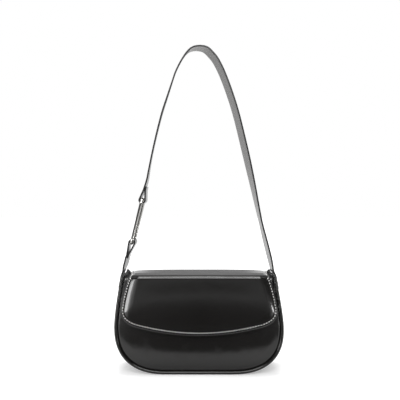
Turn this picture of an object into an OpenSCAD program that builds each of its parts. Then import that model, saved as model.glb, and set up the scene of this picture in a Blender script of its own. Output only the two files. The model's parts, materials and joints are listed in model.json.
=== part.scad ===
// A small shoulder bag: a crowned body with a deep padded flap, a tall strap and one long oval ring.
// The origin is the middle of the flat base. +Z is up and the flap hangs in front, towards -Y.

/* [Body] */
// Half width of the body at its widest level
belly_half = 121; // [105:0.5:140]
// Level of the widest point above the base
belly_z = 67.4; // [50:0.1:80]
// Half width of the body at the top seam
top_half = 110.3; // [100:0.1:125]
// Height of the front and back panels
panel_h = 138.2; // [120:0.1:160]
// Half width of the flat part of the base
base_half = 45; // [25:0.5:60]
// Squareness of the lower corners: 2 is an ellipse, more is squarer
corner_power = 2.45; // [2:0.05:3]
// How late the sides draw in above the widest level: 1 is a straight line
side_power = 1.4; // [1:0.05:2]
// Width of the gusset between its two seams
gusset_w = 48; // [38:0.5:70]
// How far the ends of the gusset rise above the panels
gusset_rise = 4.2; // [1:0.1:8]
// Thickness of the body leather
hide_t = 1.6; // [1:0.1:2.4]
// How far the front panel bulges at its middle
front_crown = 4; // [1:0.1:8]
// How far the back panel bulges at its middle
back_crown = 3; // [1:0.1:8]

/* [Piping] */
// Thickness of the corded roll along both seams
piping_d = 5; // [3:0.1:7]

/* [Stiffeners and lining] */
// Thickness of the boards behind the front and back panels
board_t = 1; // [0.6:0.1:2]
// Distance from the seam to the edge of those boards
board_inset = 8; // [5:0.5:20]
// Thickness of the board in the base
base_board_t = 2; // [1:0.1:3]
// Half length of the board in the base
base_board_half = 44; // [20:0.5:60]
// Thickness of the lining cloth
lining_t = 0.6; // [0.4:0.1:1.2]

/* [Flap] */
// Half width of the flap along its two creases
flap_half = 97; // [80:0.5:104]
// How much the middle of the top face bulges above its side edges
flap_bulge = 1; // [0:0.1:4]
// Distance of the rear crease behind the middle of the bag
rear_crease_y = 29; // [26:0.5:45]
// Half width of the hanging part at its widest level
drop_half = 109.6; // [98:0.1:125]
// Level of that widest point
drop_wide_z = 91.4; // [75:0.1:105]
// Level of the lowest point of the hanging part
drop_low_z = 57.4; // [35:0.1:70]
// Reach of the flat curve along the lower edge, to each side
drop_sweep_half = 88; // [60:0.5:95]
// Rise of that curve from the middle to its ends
drop_sweep_rise = 11.5; // [4:0.5:20]
// Thickness of the flap leather
flap_hide_t = 1.2; // [0.8:0.1:2]
// Thickness of the boards in the flap
flap_board_t = 0.8; // [0.5:0.1:1.5]
// Thickness of the padding in the hanging part
padding_t = 1.6; // [0.8:0.1:4]
// Space between the front panel and the hanging part's lining, for the snap
snap_space = 4; // [3.4:0.1:8]

/* [Magnetic snap] */
// Level of the snap
snap_z = 81.4; // [70:0.1:90]
// Diameter of both halves
snap_d = 17; // [14:0.5:20]
// Thickness of the plate on the body
snap_plate_t = 0.8; // [0.6:0.1:1.2]
// Diameter of the post on that plate
post_d = 5; // [3:0.1:6]
// Height of the post
post_h = 1.2; // [0.6:0.1:1.4]
// Diameter of the hole that the post enters
socket_d = 8.2; // [8:0.1:9]
// Thickness of the pressed metal of the cap
cap_wall = 0.5; // [0.3:0.1:0.8]
// Thickness of the washers behind both halves
washer_t = 0.6; // [0.4:0.1:1]

/* [Strap] */
// Width of the strap
strap_w = 26; // [18:0.5:32]
// Thickness of the outer leather of the strap
strap_hide_t = 1.2; // [0.8:0.1:1.8]
// Thickness of the inner leather of the strap
strap_lining_t = 1.1; // [0.6:0.1:1.6]
// Rise of the strap's crest above its two flex points
strap_rise = 316.3; // [200:0.1:420]
// How far the crest stands to the left of the middle
crest_shift = 3; // [0:0.5:20]
// Turn of the strap about the vertical at its crest, in degrees
crest_turn = 14; // [0:0.5:25]
// Length of the sewn tab below the gusset's top
tab_drop = 26; // [15:0.5:40]
// Thickness of the tab
tab_t = 1.8; // [1:0.1:3]
// Length of the short strap from its flex point to its neck
short_len = 14; // [13:0.1:40]
// Lean of the short strap towards the middle, in degrees
short_lean = 15; // [0:0.5:25]
// Distance from the short strap's neck to the middle of its loop
lower_loop_len = 18; // [12:0.1:30]
// Lean of that stretch towards the middle, in degrees
lower_loop_lean = 19; // [0:0.5:30]
// Distance from the long strap's neck to the middle of its loop
upper_loop_len = 15; // [12:0.1:30]
// Lean of that stretch towards the middle, in degrees
upper_loop_lean = 13; // [0:0.5:30]
// Length of the sewn-down end beyond each neck
sewn_end = 9.5; // [5:0.1:20]

/* [Ring] */
// Length of the ring between the middles of its end bars
ring_len = 65.8; // [45:0.1:90]
// Width of the ring between the middles of its side bars
ring_w = 33; // [31:0.1:45]
// Thickness of the ring's wire
wire_d = 4.3; // [3:0.1:6]
// Corner radius of the ring at the middle of its wire
ring_corner = 7; // [4:0.1:12]
// Lean of the ring towards the middle, in degrees
ring_lean = 13.6; // [0:0.1:30]

/* [Hidden] */

// Gap between layers that are glued or sewn together
lay = 0.1;
// Gap between pieces that move past each other
run = 0.3;
// Slack between the ring's wire and the leather of a loop
loop_slack = 0.9;
// Extra slack under the wire, where its corners turn away
loop_sag = 1;
// Roundness: segments of a quarter corner, of a straight side, of the lower edge and of a tube
corner_steps = 10;
side_steps = 6;
top_steps = 6;
sweep_steps = 8;
piping_sides = 10;
curve_steps = 5;
arc_step = 20;
round_fn = 64;

leather = [0.14, 0.14, 0.135];
cloth = [0.25, 0.25, 0.24];
fibre = [0.55, 0.45, 0.35];
foam = [0.8, 0.8, 0.75];
metal = [0.78, 0.78, 0.8];

seam_y = gusset_w / 2;
piping_r = piping_d / 2;
piping_y = seam_y + lay + piping_r;
panel_y = piping_y;
gusset_top = panel_h + gusset_rise;
panel_inset = piping_d + lay;
panel_centre = [0, panel_h / 2];

// Levels of the flap's layers, from the outside in
drop_lining_y = panel_y + front_crown + snap_space;
drop_board_y = drop_lining_y + lining_t + washer_t + 2 * lay;
drop_padding_y = drop_board_y + flap_board_t + lay;
pad_lift = padding_t + lay;
front_crease_y = drop_padding_y + pad_lift + flap_hide_t;
top_front_y = drop_lining_y - run;
top_lining_z = panel_h + run;
top_board_z = top_lining_z + lining_t + lay;
top_hide_z = top_board_z + flap_board_t + lay;
crease_z = top_hide_z + flap_hide_t + flap_bulge;

function smooth(t) = let (c = min(max(t, 0), 1)) c * c * (3 - 2 * c);
function unit(v) = v / norm(v);
function inward(t) = [-t[1], t[0]];
function flip(list) = [for (i = [len(list) - 1:-1:0]) list[i]];
function mirrored(list) = [for (p = flip(list)) [-p[0], p[1]]];
function heading(p, i) = unit(p[min(i + 1, len(p) - 1)] - p[max(i - 1, 0)]);
function from_vertical(a) = [sin(a), cos(a)];

// Outline of the body, from the left end down, along the base and up to the right end
function side_x(z) =
    belly_half - (belly_half - top_half) * pow((z - belly_z) / (panel_h - belly_z), side_power);
function corner_point(a) = [
    base_half + (belly_half - base_half) * pow(sin(a), 2 / corner_power),
    belly_z * (1 - pow(cos(a), 2 / corner_power))
];
function right_half(top) = concat(
    [for (k = [0:corner_steps]) corner_point(90 * k / corner_steps)],
    [for (k = [1:side_steps]) let (z = belly_z + (top - belly_z) * k / side_steps) [side_x(z), z]]
);
function body_line(top, inset = 0) =
    let (raw = concat(mirrored(right_half(top)), right_half(top)), last = len(raw) - 1)
    [for (i = [0:last])
        i == 0 ? [raw[0][0] + inset, top]
        : i == last ? [raw[last][0] - inset, top]
        : raw[i] + inset * inward(heading(raw, i))];
function closed_line(top, inset) =
    let (u = body_line(top, inset), x = u[0][0])
    concat(u, [for (k = [1:top_steps - 1]) [-x + 2 * x * k / top_steps, top]]);

// Outline of the hanging part of the flap, in the same order
function bezier(a, b, c, d, t) =
    pow(1 - t, 3) * a + 3 * pow(1 - t, 2) * t * b + 3 * (1 - t) * t * t * c + t * t * t * d;
function drop_right_half() =
    let (
        slope = 2 * drop_sweep_rise / drop_sweep_half,
        a = [drop_sweep_half, drop_low_z + drop_sweep_rise],
        d = [drop_half, drop_wide_z],
        pull = 0.55 * (drop_wide_z - a[1]),
        b = a + pull * [1, slope],
        c = d - [0, pull]
    )
    concat(
        [for (k = [0:sweep_steps - 1]) let (t = k / sweep_steps)
            [t * drop_sweep_half, drop_low_z + drop_sweep_rise * t * t]],
        [for (k = [0:curve_steps]) bezier(a, b, c, d, k / curve_steps)],
        [for (k = [1:side_steps]) let (t = k / side_steps)
            [drop_half - (drop_half - flap_half) * pow(t, 1.2), drop_wide_z + (crease_z - drop_wide_z) * t]]
    );
function drop_line(inset = 0) =
    let (half = drop_right_half(), raw = concat(mirrored(half), [for (i = [1:len(half) - 1]) half[i]]),
        last = len(raw) - 1)
    [for (i = [0:last])
        i == 0 ? [raw[0][0] + inset, crease_z]
        : i == last ? [raw[last][0] - inset, crease_z]
        : raw[i] + inset * inward(heading(raw, i))];

// A band of even thickness along an open line, drawn through the whole depth given
module band(top, inset, thick, depth) {
    translate([0, depth / 2, 0])
        rotate([90, 0, 0])
            linear_extrude(depth)
                polygon(concat(body_line(top, inset), flip(body_line(top, inset + thick))));
}

// A thin solid over a closed line, drawn in rings about its middle. Each level is
// [share of the way out, depth of the outer face, depth of the inner face], outermost first.
module crowned(line, middle, levels) {
    n = len(line);
    m = len(levels);
    outer = concat([for (l = levels) for (p = line)
        let (q = middle + l[0] * (p - middle)) [q[0], -l[1], q[1]]]);
    inner = concat([for (l = levels) for (p = line)
        let (q = middle + l[0] * (p - middle)) [q[0], -l[2], q[1]]]);
    back = n * m;
    quads = [for (k = [0:m - 2]) for (i = [0:n - 1]) let (j = (i + 1) % n)
        [k * n + i, k * n + j, (k + 1) * n + j, (k + 1) * n + i]];
    cap = (m - 1) * n;
    polyhedron(
        points = concat(outer, inner, [[middle[0], -levels[m - 1][1], middle[1]],
            [middle[0], -levels[m - 1][2], middle[1]]]),
        faces = concat(
            [for (q = quads) [q[0], q[2], q[1]]],
            [for (q = quads) [q[0], q[3], q[2]]],
            [for (q = quads) [back + q[0], back + q[1], back + q[2]]],
            [for (q = quads) [back + q[0], back + q[2], back + q[3]]],
            [for (i = [0:n - 1]) let (j = (i + 1) % n) [cap + i, 2 * back, cap + j]],
            [for (i = [0:n - 1]) let (j = (i + 1) % n) [back + cap + i, back + cap + j, 2 * back + 1]],
            [for (i = [0:n - 1]) let (j = (i + 1) % n) [i, j, back + j]],
            [for (i = [0:n - 1]) let (j = (i + 1) % n) [i, back + j, back + i]]
        )
    );
}

crown_rings = [1, 0.86, 0.68, 0.46, 0.22];
// How far a crowned piece stands out at the level of the snap
function crown_at_snap(crown) =
    crown * (1 - pow((snap_z - panel_centre[1]) / (panel_centre[1] - panel_inset), 2));
function crown_levels(rim, crown, thick) =
    [for (s = crown_rings) let (y = rim + crown * (1 - s * s)) [s, y, y - thick]];

// A thin solid over a line that is open along the crease, drawn in rings about the crease's middle
module hanging(line, levels) {
    middle = [0, crease_z];
    n = len(line);
    m = len(levels);
    back = n * m;
    outer = [for (l = levels) for (p = line)
        let (q = middle + l[0] * (p - middle)) [q[0], -l[1], q[1]]];
    inner = [for (l = levels) for (p = line)
        let (q = middle + l[0] * (p - middle)) [q[0], -l[2], q[1]]];
    hub = 2 * back;
    cap = (m - 1) * n;
    quads = [for (k = [0:m - 2]) for (i = [0:n - 2])
        [k * n + i, k * n + i + 1, (k + 1) * n + i + 1, (k + 1) * n + i]];
    polyhedron(
        points = concat(outer, inner, [[0, -levels[m - 1][1], crease_z], [0, -levels[m - 1][2], crease_z]]),
        faces = concat(
            [for (q = quads) [q[0], q[2], q[1]]],
            [for (q = quads) [q[0], q[3], q[2]]],
            [for (q = quads) [back + q[0], back + q[1], back + q[2]]],
            [for (q = quads) [back + q[0], back + q[2], back + q[3]]],
            [for (i = [0:n - 2]) [cap + i, hub, cap + i + 1]],
            [for (i = [0:n - 2]) [back + cap + i, back + cap + i + 1, hub + 1]],
            [for (i = [0:n - 2]) [i, i + 1, back + i + 1]],
            [for (i = [0:n - 2]) [i, back + i + 1, back + i]],
            [for (k = [0:m - 2]) let (a = k * n, b = (k + 1) * n) [a, back + a, back + b]],
            [for (k = [0:m - 2]) let (a = k * n, b = (k + 1) * n) [a, back + b, b]],
            [for (k = [0:m - 2]) let (a = k * n + n - 1, b = a + n) [a, back + b, back + a]],
            [for (k = [0:m - 2]) let (a = k * n + n - 1, b = a + n) [a, b, back + b]],
            [[cap, back + cap, hub + 1], [cap, hub + 1, hub]],
            [[cap + n - 1, hub + 1, back + cap + n - 1], [cap + n - 1, hub, hub + 1]]
        )
    );
}

// A round tube along the body's outline
module seam_roll(top, y) {
    line = body_line(top, piping_r);
    n = len(line);
    s = piping_sides;
    ring = [for (i = [0:n - 1]) for (k = [0:s - 1])
        let (side = inward(heading(line, i)), a = 360 * (k + 0.5) / s, p = line[i] + piping_r * cos(a) * side)
        [p[0], y + piping_r * sin(a), p[1]]];
    polyhedron(
        points = ring,
        faces = concat(
            [for (i = [0:n - 2]) for (k = [0:s - 1]) let (j = (k + 1) % s) [i * s + k, (i + 1) * s + j, i * s + j]],
            [for (i = [0:n - 2]) for (k = [0:s - 1]) let (j = (k + 1) % s)
                [i * s + k, (i + 1) * s + k, (i + 1) * s + j]],
            [for (k = [1:s - 2]) [0, k, k + 1]],
            [for (k = [1:s - 2]) [(n - 1) * s, (n - 1) * s + k + 1, (n - 1) * s + k]]
        )
    );
}

// Body
module front_panel()
    color(leather)
        crowned(closed_line(panel_h, panel_inset), panel_centre, crown_levels(panel_y, front_crown, hide_t));

module back_panel()
    color(leather)
        mirror([0, 1, 0])
            crowned(closed_line(panel_h, panel_inset), panel_centre, crown_levels(panel_y, back_crown, hide_t));

module gusset()
    color(leather)
        band(gusset_top, 0, hide_t, gusset_w);

module front_piping()
    color(leather)
        seam_roll(gusset_top, -piping_y);

module back_piping()
    color(leather)
        seam_roll(gusset_top, piping_y);

board_y = panel_y - hide_t - lay;
module front_board()
    color(fibre)
        crowned(closed_line(panel_h - board_inset, panel_inset + board_inset), panel_centre,
            crown_levels(board_y, front_crown, board_t));

module back_board()
    color(fibre)
        mirror([0, 1, 0])
            crowned(closed_line(panel_h - board_inset, panel_inset + board_inset), panel_centre,
                crown_levels(board_y, back_crown, board_t));

module base_board()
    color(fibre)
        translate([-base_board_half, -seam_y + hide_t, hide_t + lay])
            cube([2 * base_board_half, gusset_w - 2 * hide_t, base_board_t]);

// Room for a washer between the board and the lining, with slack for the crown's slope
panel_lining_y = board_y - board_t - washer_t - 8 * lay;
module front_lining()
    color(cloth)
        crowned(closed_line(panel_h - lining_t, panel_inset), panel_centre,
            crown_levels(panel_lining_y, front_crown, lining_t));

module back_lining()
    color(cloth)
        mirror([0, 1, 0])
            crowned(closed_line(panel_h - lining_t, panel_inset), panel_centre,
                crown_levels(panel_lining_y, back_crown, lining_t));

module gusset_lining()
    color(cloth)
        band(gusset_top - lining_t, hide_t + base_board_t + 2 * lay, lining_t,
            2 * (panel_lining_y - lining_t - lay));

// Strap tabs: sewn flat on the gusset, with a round free end beside each flex point
flex_z = gusset_top + run + strap_w / 2;
tab_steps = 5;
function tab_inner() = concat(
    [for (k = [0:tab_steps]) let (z = gusset_top - tab_drop * (1 - k / tab_steps)) [side_x(z) + lay, z]],
    [[side_x(gusset_top) + lay, flex_z + strap_w / 2]]
);
module right_strap_tab()
    color(leather)
        intersection() {
            translate([0, strap_w / 2, 0])
                rotate([90, 0, 0])
                    linear_extrude(strap_w)
                        polygon(concat(tab_inner(), flip([for (p = tab_inner()) p + [tab_t, 0]])));
            union() {
                translate([0, -strap_w, gusset_top - 2 * tab_drop])
                    cube([2 * belly_half, 2 * strap_w, flex_z - gusset_top + 2 * tab_drop]);
                translate([0, 0, flex_z])
                    rotate([0, 90, 0])
                        cylinder(d = strap_w, h = 2 * belly_half, $fn = round_fn);
            }
        }

module left_strap_tab()
    mirror([1, 0, 0])
        right_strap_tab();

// Magnetic snap: the stud on the body, the cap with its magnet under the flap
module along_y(y, z = snap_z) {
    translate([0, -y, z])
        rotate([90, 0, 0])
            children();
}
stud_y = panel_y + front_crown + lay;
cap_y = stud_y + snap_plate_t + run;
cap_t = drop_lining_y - lay - cap_y;
module snap_stud()
    color(metal)
        along_y(stud_y) {
            cylinder(d = snap_d, h = snap_plate_t, $fn = round_fn);
            cylinder(d = post_d, h = snap_plate_t + post_h, $fn = round_fn);
        }

module snap_stud_washer()
    color(metal)
        along_y(panel_lining_y + crown_at_snap(front_crown) + lay)
            cylinder(d = snap_d, h = washer_t, $fn = round_fn);

module snap_cap()
    color(metal)
        along_y(cap_y)
            difference() {
                cylinder(d = snap_d, h = cap_t, $fn = round_fn);
                translate([0, 0, cap_wall])
                    cylinder(d = snap_d - 2 * cap_wall, h = cap_t - 2 * cap_wall, $fn = round_fn);
                translate([0, 0, -1])
                    cylinder(d = socket_d, h = 1 + 2 * cap_wall, $fn = round_fn);
            }

module snap_magnet()
    color([0.3, 0.3, 0.32])
        along_y(cap_y + cap_wall + lay)
            difference() {
                cylinder(d = snap_d - 2 * cap_wall - 2 * lay, h = cap_t - 2 * cap_wall - 2 * lay, $fn = round_fn);
                translate([0, 0, -1])
                    cylinder(d = socket_d + 2 * lay, h = cap_t + 2, $fn = round_fn);
            }

module snap_cap_washer()
    color(metal)
        along_y(drop_lining_y + lining_t + lay)
            cylinder(d = snap_d, h = washer_t, $fn = round_fn);

// Flap, from the rear crease to the front crease
function bulge_z(x) = flap_bulge * (1 - pow(x / flap_half, 2));
module flap_sheet(z, thick, half, front_y, back_y) {
    xs = [for (k = [-side_steps:side_steps]) half * k / side_steps];
    translate([0, back_y, 0])
        rotate([90, 0, 0])
            linear_extrude(back_y + front_y)
                polygon(concat([for (x = xs) [x, z + bulge_z(x)]], [for (x = flip(xs)) [x, z + thick + bulge_z(x)]]));
}

edge_step = 1.5;
module flap_top_leather()
    color(leather)
        flap_sheet(top_hide_z, flap_hide_t, flap_half, top_front_y, rear_crease_y);

module flap_top_board()
    color(fibre)
        flap_sheet(top_board_z, flap_board_t, flap_half - edge_step, top_front_y - edge_step,
            rear_crease_y - edge_step);

module flap_top_lining()
    color(cloth)
        flap_sheet(top_lining_z, lining_t, flap_half - edge_step, top_front_y - edge_step,
            rear_crease_y - edge_step);

// Flap, the part that hangs in front; the padding stops at a shoulder inside the stitched edge
drop_rings = [1, 0.95, 0.9, 0.6, 0.3];
pad_rings = [0.9, 0.85, 0.5, 0.25];
function lift(s) = pad_lift * smooth((0.95 - s) / 0.05);
module flap_drop_leather()
    color(leather)
        hanging(drop_line(), [for (s = drop_rings) let (y = drop_padding_y + lift(s)) [s, y + flap_hide_t, y]]);

module flap_padding()
    color(foam)
        hanging(drop_line(), [for (s = pad_rings)
            [s, drop_padding_y + (s == pad_rings[0] ? padding_t / 2 : padding_t), drop_padding_y]]);

module flap_drop_board()
    color(fibre)
        hanging(drop_line(edge_step), [for (s = [1, 0.5]) [s, drop_board_y + flap_board_t, drop_board_y]]);

module flap_drop_lining()
    color(cloth)
        hanging(drop_line(edge_step), [for (s = [1, 0.5]) [s, drop_lining_y + lining_t, drop_lining_y]]);

// Strap: every path point is [x, z, width, turn about the vertical]
strap_t = strap_hide_t + lay + strap_lining_t;
flex_x = side_x(gusset_top) + lay - run - strap_t / 2;
right_flex = [flex_x, flex_z];
left_flex = [-flex_x, flex_z];
crest = [-crest_shift, flex_z + strap_rise];
wire_r = wire_d / 2;
loop_r = wire_r + loop_slack + strap_t / 2;
fold_off = strap_t / 2 + lay;
ring_dir = from_vertical(ring_lean);
lower_neck = left_flex + short_len * from_vertical(short_lean);
lower_loop = lower_neck + lower_loop_len * from_vertical(lower_loop_lean);
ring_foot = lower_loop - loop_sag * ring_dir;
ring_head = ring_foot + ring_len * ring_dir;
upper_loop = ring_head - loop_sag * ring_dir;
upper_neck = upper_loop + upper_loop_len * from_vertical(upper_loop_lean);

// Shape of both legs, as shares of the way across and up to the crest
right_leg = [
    [0.047, 0.043], [0.165, 0.198], [0.268, 0.373], [0.354, 0.52], [0.466, 0.683],
    [0.566, 0.781], [0.678, 0.873], [0.769, 0.936], [0.882, 0.98]
];
left_leg = [[0.129, 0.225], [0.192, 0.397], [0.29, 0.546], [0.421, 0.687], [0.58, 0.837], [0.753, 0.943]];
function between(a, b, share) = [a[0] + (b[0] - a[0]) * share[0], a[1] + (b[1] - a[1]) * share[1]];

function through(p, i, t) =
    let (a = p[max(i - 1, 0)], b = p[i], c = p[i + 1], d = p[min(i + 2, len(p) - 1)])
    0.5 * (2 * b + (c - a) * t + (2 * a - 5 * b + 4 * c - d) * t * t + (3 * b - a - 3 * c + d) * t * t * t);
function smooth_path(p) = concat(
    [for (i = [0:len(p) - 2]) for (k = [0:curve_steps - 1]) through(p, i, k / curve_steps)],
    [p[len(p) - 1]]
);

// A loop of leather about a bar at c, closed at its neck
function loop_path(c, neck) =
    let (
        e = unit(neck - c),
        left = inward(e),
        reach = norm(neck - c),
        touch = atan(fold_off / reach) + acos(loop_r / norm([reach, fold_off])),
        steps = ceil((360 - 2 * touch) / arc_step)
    )
    concat(
        [neck + fold_off * left],
        [for (k = [0:steps]) let (a = touch + (360 - 2 * touch) * k / steps)
            c + loop_r * (cos(a) * e + sin(a) * left)],
        [neck - fold_off * left]
    );
function round_end(flex) = [for (a = [15:15:75]) [flex[0], flex[1] - strap_w / 2 * cos(a), strap_w * sin(a), 0]];
function turned(p) =
    let (from = p[0] < crest[0] ? upper_neck[1] + sewn_end : flex_z + strap_w)
    [p[0], p[1], strap_w, crest_turn * smooth((p[1] - from) / (0.45 * strap_rise))];
function plain(p) = [p[0], p[1], strap_w, 0];

upper_loop_path = loop_path(upper_loop, upper_neck);
upper_end = upper_loop_path[len(upper_loop_path) - 1] + sewn_end * unit(upper_neck - upper_loop);
long_path = concat(
    round_end(right_flex),
    [for (p = smooth_path(concat(
        [right_flex],
        [for (s = right_leg) between(right_flex, crest, s)],
        [crest],
        flip([for (s = left_leg) between(upper_loop_path[0], crest, s)]),
        [upper_loop_path[0]]
    ))) turned(p)],
    [for (i = [1:len(upper_loop_path) - 1]) plain(upper_loop_path[i])],
    [plain(upper_end)]
);
lower_loop_path = loop_path(lower_loop, lower_neck);
short_path = concat(
    [plain(lower_loop_path[0] - sewn_end * from_vertical(short_lean))],
    [for (p = lower_loop_path) plain(p)],
    [plain(left_flex)],
    flip(round_end(left_flex))
);

// A flat ribbon along a path, between two offsets from its middle towards the outside of the arch
module ribbon(path, low, high) {
    flat = [for (p = path) [p[0], p[1]]];
    n = len(path);
    points = [for (i = [0:n - 1])
        let (
            t = heading(flat, i),
            turn = path[i][3],
            across = [-sin(turn), cos(turn), 0],
            out = -unit(cross([t[0], 0, t[1]], across)),
            c = [path[i][0], 0, path[i][1]],
            half = path[i][2] / 2
        )
        each [c + half * across + high * out, c + half * across + low * out,
            c - half * across + low * out, c - half * across + high * out]];
    polyhedron(
        points = points,
        faces = concat(
            [for (i = [0:n - 2]) for (k = [0:3]) let (j = (k + 1) % 4) [4 * i + k, 4 * i + j, 4 * i + 4 + j]],
            [for (i = [0:n - 2]) for (k = [0:3]) let (j = (k + 1) % 4) [4 * i + k, 4 * i + 4 + j, 4 * i + 4 + k]],
            [[0, 2, 1], [0, 3, 2]],
            [[4 * n - 4, 4 * n - 3, 4 * n - 2], [4 * n - 4, 4 * n - 2, 4 * n - 1]]
        )
    );
}
hide_low = strap_t / 2 - strap_hide_t;
lining_high = strap_lining_t - strap_t / 2;
module long_strap_leather()
    color(leather)
        ribbon(long_path, hide_low, strap_t / 2);

module long_strap_lining()
    color(cloth)
        ribbon(long_path, -strap_t / 2, lining_high);

module short_strap_leather()
    color(leather)
        ribbon(short_path, hide_low, strap_t / 2);

module short_strap_lining()
    color(cloth)
        ribbon(short_path, -strap_t / 2, lining_high);

module ring_quarter() {
    x = ring_w / 2 - ring_corner;
    y = ring_len / 2 - ring_corner;
    translate([x, y, 0])
        rotate_extrude(angle = 90, $fn = round_fn)
            translate([ring_corner, 0])
                circle(wire_r, $fn = round_fn);
    translate([ring_w / 2, 0, 0])
        rotate([-90, 0, 0])
            cylinder(r = wire_r, h = y, $fn = round_fn);
    translate([0, ring_len / 2, 0])
        rotate([0, 90, 0])
            cylinder(r = wire_r, h = x, $fn = round_fn);
}
module oval_ring()
    color(metal)
        translate([(ring_foot[0] + ring_head[0]) / 2, 0, (ring_foot[1] + ring_head[1]) / 2])
            rotate([0, ring_lean, 0])
                rotate([90, 0, 90])
                    for (a = [0, 1], b = [0, 1])
                        mirror([a, 0, 0])
                            mirror([0, b, 0])
                                ring_quarter();

front_panel();
back_panel();
gusset();
front_piping();
back_piping();
front_board();
back_board();
base_board();
front_lining();
back_lining();
gusset_lining();
left_strap_tab();
right_strap_tab();
snap_stud();
snap_stud_washer();
flap_top_leather();
flap_top_board();
flap_top_lining();
flap_drop_leather();
flap_padding();
flap_drop_board();
flap_drop_lining();
snap_cap();
snap_magnet();
snap_cap_washer();
long_strap_leather();
long_strap_lining();
short_strap_leather();
short_strap_lining();
oval_ring();
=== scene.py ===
# %% [markdown]
# # A small shoulder bag in glossy leather
# The bag is a stiff, crowned body with a padded flap, a tall flat strap and one long metal ring.
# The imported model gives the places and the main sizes; this file gives the leather, thread, cloth and
# metal their shapes and finishes. Everything is in metres, with the front of the bag facing -Y.

# %% Load the frame
import json
import math

import bmesh
import bpy
import numpy as np
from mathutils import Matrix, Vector


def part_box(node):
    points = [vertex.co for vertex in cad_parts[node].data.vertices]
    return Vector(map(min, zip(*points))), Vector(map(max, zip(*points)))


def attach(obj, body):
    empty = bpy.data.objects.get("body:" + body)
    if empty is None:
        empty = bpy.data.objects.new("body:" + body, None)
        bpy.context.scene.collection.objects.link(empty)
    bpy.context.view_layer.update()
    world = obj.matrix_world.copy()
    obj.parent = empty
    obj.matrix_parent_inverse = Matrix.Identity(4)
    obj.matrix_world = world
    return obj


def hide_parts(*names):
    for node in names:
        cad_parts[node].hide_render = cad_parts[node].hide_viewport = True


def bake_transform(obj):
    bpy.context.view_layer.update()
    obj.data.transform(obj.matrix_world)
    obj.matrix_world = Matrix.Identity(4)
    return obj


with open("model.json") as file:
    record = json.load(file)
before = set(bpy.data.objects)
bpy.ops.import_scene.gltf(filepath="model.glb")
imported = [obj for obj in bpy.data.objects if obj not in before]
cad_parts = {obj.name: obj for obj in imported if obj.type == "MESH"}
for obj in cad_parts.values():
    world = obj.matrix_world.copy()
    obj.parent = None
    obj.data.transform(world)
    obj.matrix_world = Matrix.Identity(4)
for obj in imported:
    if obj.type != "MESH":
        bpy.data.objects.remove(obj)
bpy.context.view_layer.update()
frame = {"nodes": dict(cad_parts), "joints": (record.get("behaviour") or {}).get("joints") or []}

# %% [markdown]
# ## The camera
# The photograph was taken level, about 70 cm in front of the bag and at mid height. The perspective was
# read from the near and far edges of the strap: the focal length is 496 pixels in a 400 pixel frame.

# %% Camera
PHOTO_WIDTH = 400
FOCAL_PIXELS = 496
CAMERA_PLACE = (0.0007, -0.733, 0.2484)

camera_data = bpy.data.cameras.new("camera")
camera_data.sensor_width = 36
camera_data.lens = FOCAL_PIXELS / PHOTO_WIDTH * camera_data.sensor_width
camera = bpy.data.objects.new("camera", camera_data)
camera.location = CAMERA_PLACE
camera.rotation_euler = (math.radians(90), 0, 0)
bpy.context.collection.objects.link(camera)
bpy.context.scene.camera = camera
print("lens", round(camera_data.lens, 2), "mm")

# %% [markdown]
# ## Sizes from the frame
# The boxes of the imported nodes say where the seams, creases and strap are. The rest was read from the
# photograph, such as the shape of the corners and the small lean of the whole bag.

# %% Sizes
MM = 0.001
gusset_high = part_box("gusset")[1]
panel_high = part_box("front_panel")[1]
top_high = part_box("flap_top_leather")[1]
drop_low, drop_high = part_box("flap_drop_leather")
strap_flex = next(j["pos_m"] for j in frame["joints"] if j["name"] == "strap_swing")

PANEL_TOP = panel_high[2]
GUSSET_TOP = gusset_high[2]
SEAM_Y = gusset_high[1]
BELLY_HALF = gusset_high[0]
BELLY_Z = 67.4 * MM
TOP_HALF = 110.8 * MM
BASE_HALF = 45 * MM
CORNER_POWER = 2.45
SIDE_POWER = 1.4
PIPING_R = 2.5 * MM
FRONT_CROWN = 4 * MM
BACK_CROWN = 3 * MM
REAR_CREASE_Y = top_high[1]
CREASE_Z = top_high[2]
FLAP_HALF = top_high[0] + 0.0022
LEAN = 1.5 * MM
FLAP_LEAN = 0.5 * MM

# %% [markdown]
# ## Small tools for making sheets
# Leather goods are made from flat sheets, so most pieces start as a grid of points: rows along one
# direction, columns along the other. A sheet becomes a closed skin when it gets its thickness.

# %% Sheet tools
def smooth(t):
    c = np.clip(t, 0, 1)
    return c * c * (3 - 2 * c)


def distances(line):
    """How far along a line each of its points lies."""
    return np.r_[0, np.cumsum(np.linalg.norm(np.diff(line, axis=0), axis=1))]


def values_at(places, at, values):
    """Points, or directions, at given distances along a line whose own points lie at other distances."""
    return np.stack([np.interp(places, at, values[:, k]) for k in range(values.shape[1])], axis=-1)


def resample(points, count):
    """The same line with evenly spaced points."""
    points = np.asarray(points, float)
    at = distances(points)
    return values_at(np.linspace(0, at[-1], count), at, points)


def inset(line, distance):
    """Moves an open outline inwards. It runs down the left side, along the base and up the right."""
    along = np.gradient(line, axis=0)
    along /= np.linalg.norm(along, axis=1)[:, None]
    inward = np.stack([-along[:, 1], along[:, 0]], axis=1)
    inward[0], inward[-1] = (1, 0), (-1, 0)
    return line + distance * inward


def lean(points, amount=LEAN):
    """The bag in the photograph leans a little to its left towards the top."""
    points = np.array(points, float)
    points[..., 0] -= amount * smooth(points[..., 2] / PANEL_TOP)
    return points


def add_object(name, mesh):
    piece = bpy.data.objects.new(name, mesh)
    bpy.context.collection.objects.link(piece)
    return piece


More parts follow.
